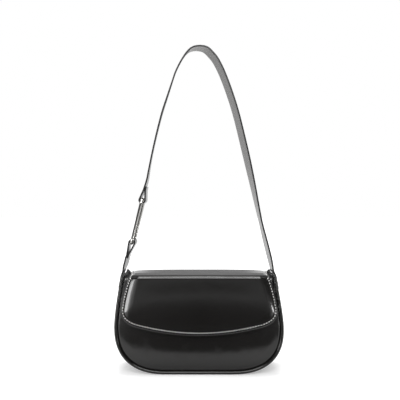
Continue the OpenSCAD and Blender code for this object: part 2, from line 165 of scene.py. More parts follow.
def mesh_from(name, points, faces):
    """A smooth mesh with sharp edges where it turns a corner, and its faces turned outward."""
    mesh = bpy.data.meshes.new(name)
    mesh.from_pydata([tuple(p) for p in points], [], faces)
    work = bmesh.new()
    work.from_mesh(mesh)
    bmesh.ops.recalc_face_normals(work, faces=work.faces)
    work.to_mesh(mesh)
    work.free()
    mesh.shade_smooth()
    mesh.set_sharp_from_angle(angle=math.radians(55))
    return mesh


def grid_faces(rows, columns, first=0, round_rows=False, round_columns=False):
    """Four-sided faces over a grid of points, joined round where asked."""
    faces = []
    for r in range(rows if round_rows else rows - 1):
        for c in range(columns if round_columns else columns - 1):
            a, b = r * columns + c, r * columns + (c + 1) % columns
            d, e = ((r + 1) % rows) * columns + c, ((r + 1) % rows) * columns + (c + 1) % columns
            faces.append((first + a, first + b, first + e, first + d))
    return faces


def sheet_normals(grid):
    down = np.gradient(grid, axis=0)
    across = np.gradient(grid, axis=1)
    normal = np.cross(down, across)
    return normal / np.maximum(np.linalg.norm(normal, axis=2), 1e-12)[..., None]


def skin(name, grid, thickness, inward, edge_round=0.0):
    """A closed skin of even thickness: the grid is its outer face, inward is the way to its inner face."""
    rows, columns = grid.shape[:2]
    normal = sheet_normals(grid)
    if np.sum(normal * np.asarray(inward)) < 0:
        normal = -normal
    count = rows * columns
    inner = grid + thickness * normal
    points = [*grid.reshape(-1, 3), *inner.reshape(-1, 3)]
    faces = grid_faces(rows, columns) + grid_faces(rows, columns, count)
    border = (
        [(0, c) for c in range(columns)]
        + [(r, columns - 1) for r in range(1, rows)]
        + [(rows - 1, c) for c in range(columns - 2, -1, -1)]
        + [(r, 0) for r in range(rows - 2, 0, -1)]
    )
    at = [r * columns + c for r, c in border]
    for a, b in zip(at, at[1:] + at[:1]):
        faces.append((a, b, count + b, count + a))
    piece = add_object(name, mesh_from(name, points, faces))
    if edge_round:
        round_edges(piece, edge_round)
    return piece


def bake_modifiers(piece):
    """Keeps the shape that the modifiers give, and drops the modifiers."""
    graph = bpy.context.evaluated_depsgraph_get()
    mesh = bpy.data.meshes.new_from_object(piece.evaluated_get(graph))
    piece.modifiers.clear()
    old = piece.data
    piece.data = mesh
    mesh.name = piece.name
    bpy.data.meshes.remove(old)
    return piece


def round_edges(piece, width, segments=2, angle=40):
    """Rounds the edges that turn by more than an angle."""
    bevel = piece.modifiers.new("round", "BEVEL")
    bevel.width = width
    bevel.segments = segments
    bevel.limit_method = "ANGLE"
    bevel.angle_limit = math.radians(angle)
    bevel.harden_normals = False
    bpy.context.view_layer.update()
    return bake_modifiers(piece)


def tube(name, path, side, binormal, radius, sides=12, closed=False):
    """A round tube: side and binormal are two unit directions across the path at each point."""
    turn = np.linspace(0, 2 * math.pi, sides, endpoint=False)
    rings = path[:, None, :] + radius * (
        np.cos(turn)[None, :, None] * side[:, None, :] + np.sin(turn)[None, :, None] * binormal[:, None, :]
    )
    rows = len(path)
    points = list(rings.reshape(-1, 3))
    faces = grid_faces(rows, sides, round_rows=closed, round_columns=True)
    if not closed:
        faces += [tuple(range(sides)), tuple((rows - 1) * sides + k for k in range(sides))]
    return add_object(name, mesh_from(name, points, faces))


# %% [markdown]
# ## The outline of the body
# The body is widest near half height. Below, its corners are a squarish ellipse that runs out into the
# flat base; above, the sides draw in towards the mouth in a slow curve.

# %% Body outline
def body_line(top, count=301):
    corner = np.radians(np.linspace(0, 90, 60))
    share = 2 / CORNER_POWER
    right = np.stack([
        BASE_HALF + (BELLY_HALF - BASE_HALF) * np.sin(corner) ** share,
        BELLY_Z * (1 - np.cos(corner) ** share),
    ], axis=1)
    z = np.linspace(BELLY_Z, top, 50)[1:]
    draw = ((z - BELLY_Z) / (PANEL_TOP - BELLY_Z)) ** SIDE_POWER
    right = np.concatenate([right, np.stack([BELLY_HALF - (BELLY_HALF - TOP_HALF) * draw, z], axis=1)])
    left = right[::-1] * (-1, 1)
    return resample(np.concatenate([left, right]), count)


outline = body_line(PANEL_TOP)
print("outline length", round(distances(outline)[-1], 4))

# %% [markdown]
# ## Finishes
# One leather recipe serves the whole bag. A node group makes the small things that every leather piece
# shares: a fine pore grain, long shallow ripples, creases near the upper corners, duller handled places
# and a random tone.
# Each material then sets its own colour, gloss and coat.

# %% Shared leather surface
def new_group(name, inputs, outputs):
    group = bpy.data.node_groups.new(name, "ShaderNodeTree")
    for label, kind, value in inputs:
        socket = group.interface.new_socket(label, in_out="INPUT", socket_type=kind)
        socket.default_value = value
    for label, kind in outputs:
        group.interface.new_socket(label, in_out="OUTPUT", socket_type=kind)
    return group, group.nodes.new("NodeGroupInput"), group.nodes.new("NodeGroupOutput")


def maths(nodes, links, operation, a, b=0.5):
    node = nodes.new("ShaderNodeMath")
    node.operation = operation
    for k, value in enumerate((a, b)):
        if isinstance(value, (int, float)):
            node.inputs[k].default_value = value
        else:
            links.new(value, node.inputs[k])
    return node.outputs[0]


def noise(nodes, links, coordinates, scale, detail, rough=0.5, distort=0.0):
    node = nodes.new("ShaderNodeTexNoise")
    node.inputs["Scale"].default_value = scale
    node.inputs["Detail"].default_value = detail
    node.inputs["Roughness"].default_value = rough
    node.inputs["Distortion"].default_value = distort
    links.new(coordinates, node.inputs["Vector"])
    return node.outputs["Fac"]


def remap(nodes, links, value, low, high, to_low=0.0, to_high=1.0):
    node = nodes.new("ShaderNodeMapRange")
    node.interpolation_type = "SMOOTHSTEP"
    for label, number in (("From Min", low), ("From Max", high), ("To Min", to_low), ("To Max", to_high)):
        node.inputs[label].default_value = number
    links.new(value, node.inputs["Value"])
    return node.outputs["Result"]


def leather_surface():
    """What every leather piece shares, as a normal and two masks."""
    group, inlet, outlet = new_group(
        "leather_surface",
        [
            ("Grain", "NodeSocketFloat", 0.06),
            ("Ripple", "NodeSocketFloat", 0.15),
            ("Creasing", "NodeSocketFloat", 0.0),
            ("Grain Scale", "NodeSocketFloat", 1500.0),
        ],
        [("Normal", "NodeSocketVector"), ("Worn", "NodeSocketFloat"), ("Tone", "NodeSocketFloat")],
    )
    nodes, links = group.nodes, group.links
    at = nodes.new("ShaderNodeTexCoord").outputs["Object"]

    pores = nodes.new("ShaderNodeTexVoronoi")
    pores.feature = "SMOOTH_F1"
    pores.inputs["Smoothness"].default_value = 0.6
    links.new(at, pores.inputs["Vector"])
    links.new(inlet.outputs["Grain Scale"], pores.inputs["Scale"])
    grain_height = maths(nodes, links, "MULTIPLY", pores.outputs["Distance"], inlet.outputs["Grain"])

    ripples = maths(nodes, links, "MULTIPLY", noise(nodes, links, at, 26, 2), inlet.outputs["Ripple"])
    stretch = nodes.new("ShaderNodeMapping")
    stretch.inputs["Scale"].default_value = (1.0, 1.0, 2.4)
    links.new(at, stretch.inputs["Vector"])
    folds = noise(nodes, links, stretch.outputs["Vector"], 120, 3, 0.55, 1.2)
    place = nodes.new("ShaderNodeSeparateXYZ")
    links.new(at, place.inputs["Vector"])
    sideways = maths(nodes, links, "ABSOLUTE", place.outputs["X"])
    corner = maths(nodes, links, "MULTIPLY",
                   remap(nodes, links, sideways, 0.088, 0.104),
                   remap(nodes, links, place.outputs["Z"], 0.075, 0.105))
    folds = maths(nodes, links, "MULTIPLY", maths(nodes, links, "POWER", folds, 1.6), corner)
    folds = maths(nodes, links, "MULTIPLY", folds, inlet.outputs["Creasing"])

    first = nodes.new("ShaderNodeBump")
    first.inputs["Distance"].default_value = 0.0035
    first.inputs["Strength"].default_value = 1.0
    links.new(maths(nodes, links, "ADD", ripples, folds), first.inputs["Height"])
    second = nodes.new("ShaderNodeBump")
    second.inputs["Distance"].default_value = 0.00035
    second.inputs["Strength"].default_value = 1.0
    links.new(grain_height, second.inputs["Height"])
    links.new(first.outputs["Normal"], second.inputs["Normal"])
    links.new(second.outputs["Normal"], outlet.inputs["Normal"])

    worn = remap(nodes, links, noise(nodes, links, at, 60, 5, 0.62), 0.48, 0.72)
    links.new(worn, outlet.inputs["Worn"])
    links.new(noise(nodes, links, at, 14, 3), outlet.inputs["Tone"])
    return group


LEATHER_SURFACE = leather_surface()
print("leather surface:", [s.name for s in LEATHER_SURFACE.interface.items_tree])

# %% [markdown]
# The finishes themselves. The gloss leather is nearly black, with a soft layer of polish over it. The
# strap's inner side is the same hide, rubbed smooth and duller; its light grey is partly the hide's own tone
# and partly a painted sheen. Cut edges are painted black.

# %% Materials
def principled(name, **values):
    material = bpy.data.materials.new(name)
    material.use_nodes = True
    shader = material.node_tree.nodes["Principled BSDF"]
    for label, value in values.items():
        shader.inputs[label.replace("_", " ")].default_value = value
    return material, shader, material.node_tree.nodes, material.node_tree.links


def mix_colour(nodes, links, factor, a, b):
    node = nodes.new("ShaderNodeMix")
    node.data_type = "RGBA"
    links.new(factor, node.inputs["Factor"])
    for socket, value in ((node.inputs["A"], a), (node.inputs["B"], b)):
        if isinstance(value, tuple):
            socket.default_value = value
        else:
            links.new(value, socket)
    return node.outputs["Result"]


def grey(value, warm=0.0):
    return (value * (1 + warm), value, value * (1 - warm), 1)


def leather(name, dark, light, rough, rough_worn, grain, ripple, creasing, scale, **coat):
    """One hide: dark and light tone, gloss fresh and worn, and how much of each shared effect it has."""
    material, shader, nodes, links = principled(name, **coat)
    surface = nodes.new("ShaderNodeGroup")
    surface.node_tree = LEATHER_SURFACE
    given = {"Grain": grain, "Ripple": ripple, "Creasing": creasing, "Grain Scale": scale}
    for label, value in given.items():
        surface.inputs[label].default_value = value
    links.new(surface.outputs["Normal"], shader.inputs["Normal"])
    colour = mix_colour(nodes, links, surface.outputs["Tone"], dark, light)
    links.new(colour, shader.inputs["Base Color"])
    gloss = remap(nodes, links, surface.outputs["Worn"], 0, 1, rough, rough_worn)
    links.new(gloss, shader.inputs["Roughness"])
    return material


NEAR_BLACK = grey(0.0085, 0.05)
WORN_BLACK = grey(0.0125, 0.05)
BODY_LEATHER = leather(
    "gloss_leather", NEAR_BLACK, WORN_BLACK,
    rough=0.10, rough_worn=0.17, grain=0.035, ripple=0.1, creasing=0.0, scale=1400,
    Coat_Weight=0.35, Coat_Roughness=0.05, Coat_IOR=1.45,
)
CREASED_LEATHER = leather(
    "creased_gloss_leather", NEAR_BLACK, WORN_BLACK,
    rough=0.13, rough_worn=0.24, grain=0.06, ripple=0.2, creasing=2.6, scale=1400,
    Coat_Weight=0.3, Coat_Roughness=0.1, Coat_IOR=1.45,
)
# Light grey: partly the inner side's own tone, partly a painted sheen that brightens the strap's inner face.
STRAP_LINING = leather(
    "strap_lining_leather", grey(0.15, 0.02), grey(0.18, 0.02),
    rough=0.22, rough_worn=0.30, grain=0.08, ripple=0.05, creasing=0.0, scale=1500,
    Coat_Weight=0.6, Coat_Roughness=0.2, Coat_IOR=1.5,
)
EDGE_PAINT = leather(
    "edge_paint", grey(0.006), grey(0.010),
    rough=0.35, rough_worn=0.5, grain=0.3, ripple=0.15, creasing=0.0, scale=2500,
    Coat_Weight=0.2, Coat_Roughness=0.25,
)


def thread(name, colour, shade):
    """Waxed thread: fine slanted bands for its twist; the darker bands are painted shade in its grooves."""
    material, shader, nodes, links = principled(name, Roughness=0.6, Sheen_Weight=0.25)
    at = nodes.new("ShaderNodeTexCoord").outputs["Object"]
    wave = nodes.new("ShaderNodeTexWave")
    wave.wave_type = "BANDS"
    wave.bands_direction = "DIAGONAL"
    wave.inputs["Scale"].default_value = 900
    wave.inputs["Distortion"].default_value = 1.5
    links.new(at, wave.inputs["Vector"])
    links.new(mix_colour(nodes, links, wave.outputs["Fac"], shade, colour), shader.inputs["Base Color"])
    bump = nodes.new("ShaderNodeBump")
    bump.inputs["Distance"].default_value = 0.00008
    links.new(wave.outputs["Fac"], bump.inputs["Height"])
    links.new(bump.outputs["Normal"], shader.inputs["Normal"])
    return material


WHITE_THREAD = thread("white_thread", grey(0.90, 0.01), grey(0.72, 0.02))


def cloth(name, dark, light, scale):
    """Two crossing waves make the weave, or the fibres of a board."""
    material, shader, nodes, links = principled(name, Roughness=0.85, Sheen_Weight=0.2, Sheen_Roughness=0.5)
    at = nodes.new("ShaderNodeTexCoord").outputs["Object"]
    heights = []
    for direction in ("X", "Z"):
        wave = nodes.new("ShaderNodeTexWave")
        wave.bands_direction = direction
        wave.inputs["Scale"].default_value = scale
        wave.inputs["Distortion"].default_value = 0.6
        links.new(at, wave.inputs["Vector"])
        heights.append(wave.outputs["Fac"])
    weave = maths(nodes, links, "MULTIPLY", *heights)
    tone = maths(nodes, links, "ADD", maths(nodes, links, "MULTIPLY", weave, 0.6),
                 maths(nodes, links, "MULTIPLY", noise(nodes, links, at, 90, 4), 0.4))
    links.new(mix_colour(nodes, links, tone, dark, light), shader.inputs["Base Color"])
    bump = nodes.new("ShaderNodeBump")
    bump.inputs["Distance"].default_value = 0.0001
    links.new(weave, bump.inputs["Height"])
    links.new(bump.outputs["Normal"], shader.inputs["Normal"])
    return material


LINING_CLOTH = cloth("lining_cloth", grey(0.012), grey(0.03), 420)
BOARD = cloth("fibre_board", (0.16, 0.12, 0.08, 1), (0.3, 0.24, 0.17, 1), 160)


def metal(name, colour, rough, scratch):
    """Polished metal with fine handling marks."""
    material, shader, nodes, links = principled(name, Metallic=1.0, Base_Color=colour, Anisotropic=0.2)
    at = nodes.new("ShaderNodeTexCoord").outputs["Object"]
    fine = noise(nodes, links, at, 500, 6, 0.7, 0.4)
    links.new(remap(nodes, links, fine, 0.3, 0.8, rough, rough + 0.1), shader.inputs["Roughness"])
    bump = nodes.new("ShaderNodeBump")
    bump.inputs["Distance"].default_value = 0.000006
    bump.inputs["Strength"].default_value = scratch
    links.new(fine, bump.inputs["Height"])
    links.new(bump.outputs["Normal"], shader.inputs["Normal"])
    return material


POLISHED_METAL = metal("polished_metal", (0.75, 0.74, 0.71, 1), 0.09, 0.3)
MAGNET = metal("magnet", (0.42, 0.42, 0.44, 1), 0.3, 0.6)
print("materials", len(bpy.data.materials))

# %% [markdown]
# ## The body
# Front and back are crowned panels of leather that turn in at the edge, where a thick piping runs along
# the seam. A panel is built from rings: close together at the rolled edge, wider towards the middle.

# %% Panel builder
def closed_outline(inset_by, top, corner=0.004, count=420):
    """The body outline moved inwards, closed along the top with two small rounded corners."""
    line = inset(body_line(PANEL_TOP), inset_by)
    line = line[line[:, 1] < top - 1e-6]
    half_left, half_right = line[0, 0], line[-1, 0]
    turn = np.radians(np.linspace(0, 90, 8))
    line = line[(line[:, 1] < top - corner)]
    low = top - corner
    right = np.stack([half_right - corner + corner * np.cos(turn), low + corner * np.sin(turn)], axis=1)
    left = np.stack([half_left + corner - corner * np.sin(turn), low + corner * np.cos(turn)], axis=1)
    closed = np.concatenate([line, right, left, line[:1]])
    return resample(closed, count + 1)[:-1]


def line_normals(line):
    along = np.roll(line, -1, axis=0) - np.roll(line, 1, axis=0)
    along /= np.linalg.norm(along, axis=1)[:, None]
    return np.stack([-along[:, 1], along[:, 0]], axis=1)


EDGE_STEPS = np.array([0, 0.25, 0.6, 1.1, 1.8, 2.7, 3.7]) * MM
SCALES = (0.975, 0.94, 0.9, 0.84, 0.76, 0.66, 0.55, 0.43, 0.3, 0.15)


def plate(name, line, outer, back):
    """A closed plate. outer(x, z, d) is the depth of its face, d from the edge; back is its flat rear."""
    middle = np.array((0, PANEL_TOP / 2))
    inward = line_normals(line)
    rings, depth = [], []
    for d in EDGE_STEPS:
        ring = line + d * inward
        rings.append(ring)
        depth.append(outer(ring[:, 0], ring[:, 1], np.full(len(ring), d)))
    last = rings[-1]
    for s in SCALES:
        ring = middle + (last - middle) * s
        away = np.linalg.norm(last - ring, axis=1) + EDGE_STEPS[-1]
        rings.append(ring)
        depth.append(outer(ring[:, 0], ring[:, 1], away))
    count = len(line)
    points = [(p[0], y, p[1]) for ring, d in zip(rings, depth) for p, y in zip(ring, d)]
    faces = grid_faces(len(rings), count, round_columns=True)
    centre = float(outer(middle[:1], middle[1:], np.array([0.06]))[0])
    points.append((middle[0], centre, middle[1]))
    tip, base = len(points) - 1, (len(rings) - 1) * count
    faces += [(base + k, base + (k + 1) % count, tip) for k in range(count)]
    first = len(points)
    rear = [line, middle + (line - middle) * 0.5]
    points += [(p[0], back, p[1]) for ring in rear for p in ring]
    points.append((middle[0], back, middle[1]))
    faces += grid_faces(2, count, first, round_columns=True)
    faces += [(k, (k + 1) % count, first + (k + 1) % count, first + k) for k in range(count)]
    tip = len(points) - 1
    faces += [(first + count + k, first + count + (k + 1) % count, tip) for k in range(count)]
    return add_object(name, mesh_from(name, lean(points), faces))


def crown_at(x, z):
    """1 in the middle of the body and 0 at its edges."""
    line = body_line(PANEL_TOP)
    right = line[len(line) // 2:]
    half = np.interp(z, right[:, 1], right[:, 0])
    u = np.clip(np.abs(x) / np.maximum(half, 1e-6), 0, 1)
    v = np.clip(np.abs(z - PANEL_TOP * 0.505) / (PANEL_TOP * 0.493), 0, 1)
    return (1 - u ** 2.2) * (1 - v ** 2.4)


def rolled(d, drop, width):
    """How far a rolled edge falls back at a distance d from the edge."""
    t = np.clip(d / width, 0, 1)
    return drop * (1 - np.sqrt(np.clip(1 - (1 - t) ** 2, 0, 1)))


PANEL_INSET = 0.0048
PANEL_RIM_Y = 0.0264
PANEL_REAR_Y = 0.0252


def panel_face(side, crown, puff):
    """The shown face of a panel: side is -1 in front and 1 at the back."""
    def face(x, z, d):
        out = PANEL_RIM_Y + crown * crown_at(x, z) + puff * smooth(d / 0.012)
        return side * (out - rolled(d, 0.0016, 0.003))
    return face


panel_line = closed_outline(PANEL_INSET, PANEL_TOP)
front_panel = plate("body_front", panel_line, panel_face(-1, FRONT_CROWN - 0.0006, 0.0008), -PANEL_REAR_Y)
back_panel = plate("body_back", panel_line, panel_face(1, BACK_CROWN - 0.0004, 0.0006), PANEL_REAR_Y)
for piece in (front_panel, back_panel):
    print(piece.name, len(piece.data.polygons), "faces")

# %% [markdown]
# The piping is a strip of leather folded over a cord. Its own seam with the panel is the thin dark groove
# inside it, and the gusset meets it from the side.

# %% Piping
PIPING_Y = 0.0266


def path_frames(path):
    """For a path in the plane y = constant, the unit directions in to the body and across the path."""
    along = np.gradient(path, axis=0)
    along /= np.linalg.norm(along, axis=1)[:, None]
    across = np.tile((0.0, 1.0, 0.0), (len(path), 1))
    inward = np.cross(along, across)
    return inward / np.linalg.norm(inward, axis=1)[:, None], across


def piping(name, y):
    line = inset(body_line(GUSSET_TOP - 0.0002, 361), PIPING_R)
    path = lean(np.stack([line[:, 0], np.full(len(line), y), line[:, 1]], axis=1))
    inward, across = path_frames(path)
    piece = tube(name, path, inward, across, PIPING_R - 0.00005, 20)
    return round_edges(piece, 0.0008, 2, 60)


front_piping = piping("front_piping_roll", -PIPING_Y)
back_piping = piping("back_piping_roll", PIPING_Y)
print("piping roll", round(PIPING_R * 2000, 1), "mm thick")

# %% [markdown]
# ## The gusset
# One strip of leather runs down one side, along the base and up the other. It sinks a little between the
# two pipings, and its top ends are folded over and stitched.

# %% Gusset
FOLD_Y = 0.0188


def gusset_grid(top, inset_by, half, sink, rows=321, columns=57):
    """A strip round the body, sunk a little between the seams, with a fold on each side near its top ends."""
    line = inset(body_line(top, rows), inset_by)
    path = np.stack([line[:, 0], np.zeros(rows), line[:, 1]], axis=1)
    inward, _ = path_frames(path)
    if inward[0, 0] < 0:
        inward = -inward
    y = np.sin(np.linspace(-1, 1, columns) * math.pi / 2) * half
    deep = sink * (1 - (y / half) ** 2)
    lift = smooth(line[:, 1] / 0.05)
    fold = 0.0030 * np.exp(-((np.abs(y) - FOLD_Y) / 0.0022) ** 2)
    folding = smooth((line[:, 1] - 0.085) / (top - 0.085))
    depth = deep[None, :] * (0.35 + 0.65 * lift)[:, None] + fold[None, :] * folding[:, None]
    grid = path[:, None, :] + depth[:, :, None] * inward[:, None, :]
    grid[:, :, 1] += y[None, :]
    return lean(grid), inward


gusset_rows, gusset_inward = gusset_grid(GUSSET_TOP - 0.0008, 0.0006, SEAM_Y + 0.0012, 0.0016)
gusset = skin("gusset_strip", gusset_rows, 0.0016, gusset_inward[:, None, :], 0.0004)
lining_rows, lining_inward = gusset_grid(GUSSET_TOP - 0.0012, 0.0042, 0.0216, 0.0004, 161, 7)
gusset_cloth = skin("gusset_lining_strip", lining_rows, 0.0004, lining_inward[:, None, :])
print("gusset", len(gusset.data.polygons), "faces")

# %% [markdown]
# Cloth lines the inside of both panels. It follows their crown more loosely.

# %% Linings of the panels
def lining_face(y, crown):
    """A plain crowned sheet, with no rolled edge."""
    def face(x, z, d):
        return y - crown * crown_at(x, z)
    return face


lining_line = closed_outline(0.0053, PANEL_TOP - 0.001, count=200)
front_lining = plate("front_lining_cloth", lining_line, lining_face(-0.0226, 0.0024), -0.0230)
back_lining = plate("back_lining_cloth", lining_line, lining_face(0.0226, -0.0012), 0.0230)
print("linings", len(front_lining.data.polygons), "and", len(back_lining.data.polygons), "faces")

# %% [markdown]
# ## The flap
# The flap is one long piece: it is sewn to the back, bends over the rear edge, lies across the top, bends
# again at a crisp front crease and hangs down in front. Its padding stops short of the edge, so a sharp
# shoulder and a narrow groove run beside the white stitches.

# %% Flap outline
EDGE_Y = 0.0381
PAD_LIFT = 0.0017
FLAP_BACK_Y = 0.0354
FACE_TOP = CREASE_Z - 0.0052
DROP_HALF = drop_high[0] + 0.0003
DROP_LOW = drop_low[2]
WIDEST_Z = 91.4 * MM


def flap_outline(count=361):
    """The edge of the hanging part, from the left end of the crease round to the right end."""
    t = np.linspace(1, 0, 60)
    z = WIDEST_Z + (FACE_TOP - WIDEST_Z) * t
    side = np.stack([DROP_HALF - (DROP_HALF - FLAP_HALF - 0.0004) * t ** 1.45, z], axis=1)
    a, d = np.array([0.088, DROP_LOW + 0.0115]), np.array([DROP_HALF, WIDEST_Z])
    b, c = a + 0.0124 * np.array([1, 0.2614]), d - (0, 0.0124)
    k = np.linspace(0, 1, 40)[:, None]
    corner = (1 - k) ** 3 * d + 3 * (1 - k) ** 2 * k * c + 3 * (1 - k) * k ** 2 * b + k ** 3 * a
    q = np.linspace(1, 0, 60)[1:]
    low = np.stack([0.088 * q, DROP_LOW + 0.0115 * q ** 2], axis=1)
    right = np.concatenate([side, corner[1:], low])
    left = right * (-1, 1)
    return resample(np.concatenate([left, right[::-1][1:]]), count)


flap_line = flap_outline()
low_share = smooth((WIDEST_Z + 0.004 - flap_line[:, 1]) / 0.026)
flap_inward = line_normals(flap_line)
flap_inward[0], flap_inward[-1] = flap_inward[1], flap_inward[-2]
near_top = smooth((FACE_TOP - flap_line[:, 1]) / 0.014)[:, None]
level = np.stack([-np.sign(flap_line[:, 0]), np.zeros(len(flap_line))], axis=1)
flap_inward = near_top * flap_inward + (1 - near_top) * level
FOOT = 0.0047 + 0.0018 * low_share
STITCH_IN = 0.0024 + 0.0020 * low_share
SHOULDER = 0.0100
print("flap edge length", round(distances(flap_line)[-1], 4))

# %% [markdown]
# The front of the flap is built from rings like a panel: first the stitched margin, then the shoulder of
# the padding, then the face. Its last ring is a level line, from which the leather bends over the crease
# and runs back to the middle of the top.

# %% Flap skin
MARGIN_STEPS = (0, 0.06, 0.14, 0.26, 0.45, 0.62, 0.8, 0.93, 1.0)
SHOULDER_STEPS = (0.04, 0.1, 0.18, 0.3, 0.45, 0.62, 0.8, 1.0)
DEEP_SCALES = (0.985, 0.96, 0.925, 0.88, 0.82, 0.74, 0.65, 0.55, 0.44, 0.33, 0.22, 0.11, 0.0)
GROOVE = 0.0011
PAD_FADE = 0.050
CREASE_R = 0.0036
SPLIT_Y = -0.006
CREASE_ROWS = 8


def margin_height(f):
    """The sides have a crisp cut edge and a groove at the padding; the low edge only rolls over."""
    edge = rolled(f * FOOT, 0.0013, 0.0012 + 0.0030 * low_share)
    groove = GROOVE * (1 - low_share) * smooth((f - 0.76) / 0.24)
    return -edge - groove


def pad_lift(ring):
    """The padding thins out towards the low edge."""
    return PAD_LIFT * smooth((ring[:, 1] - DROP_LOW) / PAD_FADE)


def build_flap_face():
    """Rings of points from the edge inwards. All rings end on the level line just below the crease."""
    rings = []
    for f in MARGIN_STEPS:
        ring = flap_line + (f * FOOT)[:, None] * flap_inward
        rings.append((ring, EDGE_Y + margin_height(f)))
    for g in SHOULDER_STEPS:
        ring = flap_line + (FOOT + g * SHOULDER)[:, None] * flap_inward
        rise = math.sin(g * math.pi / 2)
        depth = GROOVE * (1 - low_share)
        rings.append((ring, EDGE_Y - depth + (pad_lift(ring) + depth) * rise))
    last = rings[-1][0]
    middle = np.array([0, FACE_TOP])
    for s in DEEP_SCALES:
        ring = middle + (last - middle) * s
        rings.append((ring, EDGE_Y + pad_lift(ring) + 0.0009 * (1 - s ** 3)))
    xz = np.array([r for r, _ in rings])
    y = -np.array([h for _, h in rings])
    crown_fade = smooth((FACE_TOP - xz[:, :, 1]) / 0.03)
    flat = -(EDGE_Y + PAD_LIFT)
    y = np.where(y < flat, flat + (y - flat) * crown_fade, y)
    return np.stack([xz[:, :, 0], y, xz[:, :, 1]], axis=2)


flap_face = build_flap_face()
left_ends = flap_face[:, 0, :]
right_ends = flap_face[::-1, -1, :][1:]
crease_row = np.concatenate([left_ends, right_ends])


def crease_sag(x):
    """The crease drops a little towards both ends."""
    return 0.0004 * (np.abs(x) / FLAP_HALF) ** 2


def top_half_at(y):
    """The top widens towards the back of the bag."""
    return FLAP_HALF - 0.0004 + 0.0050 * smooth((y + 0.025) / 0.050)


def top_level(x, y):
    """Height of the flap's top: a stitched margin, then the raised part. Its back corners sink."""
    half = top_half_at(y)
    inside = half - np.abs(x)
    back = smooth((y + 0.012) / 0.036)
    sag = (1 - back) * crease_sag(x) + back * 0.0022 * (np.abs(x) / half) ** 4
    raised = CREASE_Z - 0.0015 + 0.0013 * smooth((inside - 0.003) / 0.004)
    return raised - rolled(inside, 0.0011, 0.0012) - sag


def build_strip_front():
    """From the level line under the crease, over it and back to the middle of the top."""
    x = crease_row[:, 0]
    relief = np.clip((-crease_row[:, 1] - (EDGE_Y - 0.0013)) / (PAD_LIFT + 0.0013), 0, 1)
    top = CREASE_Z - 0.0015 + 0.0013 * relief - crease_sag(x)
    front = -crease_row[:, 1]
    rows = []
    start = -(front - CREASE_R)
    for a in np.radians(np.linspace(0, 84, CREASE_ROWS)):
        z = top - 0.0007 - CREASE_R + CREASE_R * math.sin(a)
        rows.append(np.stack([x, start - CREASE_R * math.cos(a), z], axis=1))
    for t in np.linspace(0, 1, 15)[1:]:
        y = start + (SPLIT_Y - start) * t
        share = float(smooth(t * 2))
        dip = 0.0007 * (1 - min(t / 0.5, 1)) ** 2
        wide = x * top_half_at(y) / (FLAP_HALF - 0.0004)
        rows.append(np.stack([wide, y, top * (1 - share) + top_level(wide, y) * share - dip], axis=1))
    return np.array(rows)


strip_front = build_strip_front()


def inner_face(outer, face_points):
    """The inner side of the flap front: flat behind the hanging part, level under the top."""
    inner = outer.copy()
    inner[:face_points, 1] = -FLAP_BACK_Y
    for r, part in enumerate(np.arange(face_points, len(outer)).reshape(len(strip_front), -1)):
        inner[part, 2] = CREASE_Z - 0.0034
        if r < CREASE_ROWS:
            inner[part, 1] = -FLAP_BACK_Y + 0.0002 * (r + 1)
        else:
            limit = -FLAP_BACK_Y + 0.0018 + 0.0002 * (r - CREASE_ROWS + 1)
            inner[part, 1] = np.maximum(inner[part, 1], limit)
    return inner


def join_flap_front():
    """Joins the rings, the strip over the crease, the inner side and the cut edge into one closed skin."""
    ring_count, per = flap_face.shape[:2]
    outer = [tuple(p) for p in flap_face[:-1].reshape(-1, 3)]
    apex = len(outer)
    outer.append(tuple(flap_face[-1, 0]))
    faces = grid_faces(ring_count - 1, per)
    last = (ring_count - 2) * per
    faces += [(last + c, last + c + 1, apex) for c in range(per - 1)]
    starts = [r * per for r in range(ring_count - 1)]
    previous = starts + [apex] + [k + per - 1 for k in starts[::-1]]
    ends = []
    for points in strip_front:
        new = list(range(len(outer), len(outer) + len(points)))
        outer += [tuple(p) for p in points]
        faces += [(previous[c], previous[c + 1], new[c + 1], new[c]) for c in range(len(new) - 1)]
        ends.append((new[0], new[-1]))
        previous = new
    outer = np.array(outer)
    inner = inner_face(outer, apex + 1)
    count = len(outer)
    right_rim = [right for _, right in ends]
    left_rim = [left for left, _ in ends[::-1]]
    rim = list(range(per)) + right_rim + previous[-2:0:-1] + left_rim
    closed = faces + [tuple(count + k for k in f) for f in faces]
    closed += [(a, b, count + b, count + a) for a, b in zip(rim, rim[1:] + rim[:1])]
    return np.concatenate([outer, inner]), closed


points, faces = join_flap_front()
flap_front = add_object("flap_front", mesh_from("flap_front", lean(points, FLAP_LEAN), faces))
print("flap front", len(faces), "faces")

# %% [markdown]
# The rear of the flap is a plain strip: along the top, over the rear edge, and down the back to two
# rounded corners.

# %% Rear part of the flap
REAR_END_Z = 0.113
REAR_TOP_Z = CREASE_Z - 0.0002
REAR_R = 0.0022
REAR_TURN_Y = REAR_CREASE_Y - REAR_R


def rear_strip_profile():
    """From the middle of the top, over the rear edge and down the back, as (y, z)."""
    line = [(y, REAR_TOP_Z) for y in np.linspace(SPLIT_Y, REAR_TURN_Y, 12)]
    for a in np.radians(np.linspace(0, 86, 8)[1:]):
        line.append((REAR_TURN_Y + REAR_R * math.sin(a), REAR_TOP_Z - REAR_R + REAR_R * math.cos(a)))
    z_from = line[-1][1]
    for t in np.linspace(0, 1, 14)[1:]:
        z = z_from + (REAR_END_Z - z_from) * t
        line.append((REAR_CREASE_Y + 0.0016 * smooth(t * 1.6), z))
    return np.array(line)


def rear_half_width(z):
    """The part on the back keeps its width and ends in rounded corners."""
    t = np.clip((z - REAR_END_Z) / 0.012, 0, 1)
    return top_half_at(REAR_CREASE_Y) - 0.012 * (1 - np.sqrt(np.clip(1 - (1 - t) ** 2, 0, 1)))


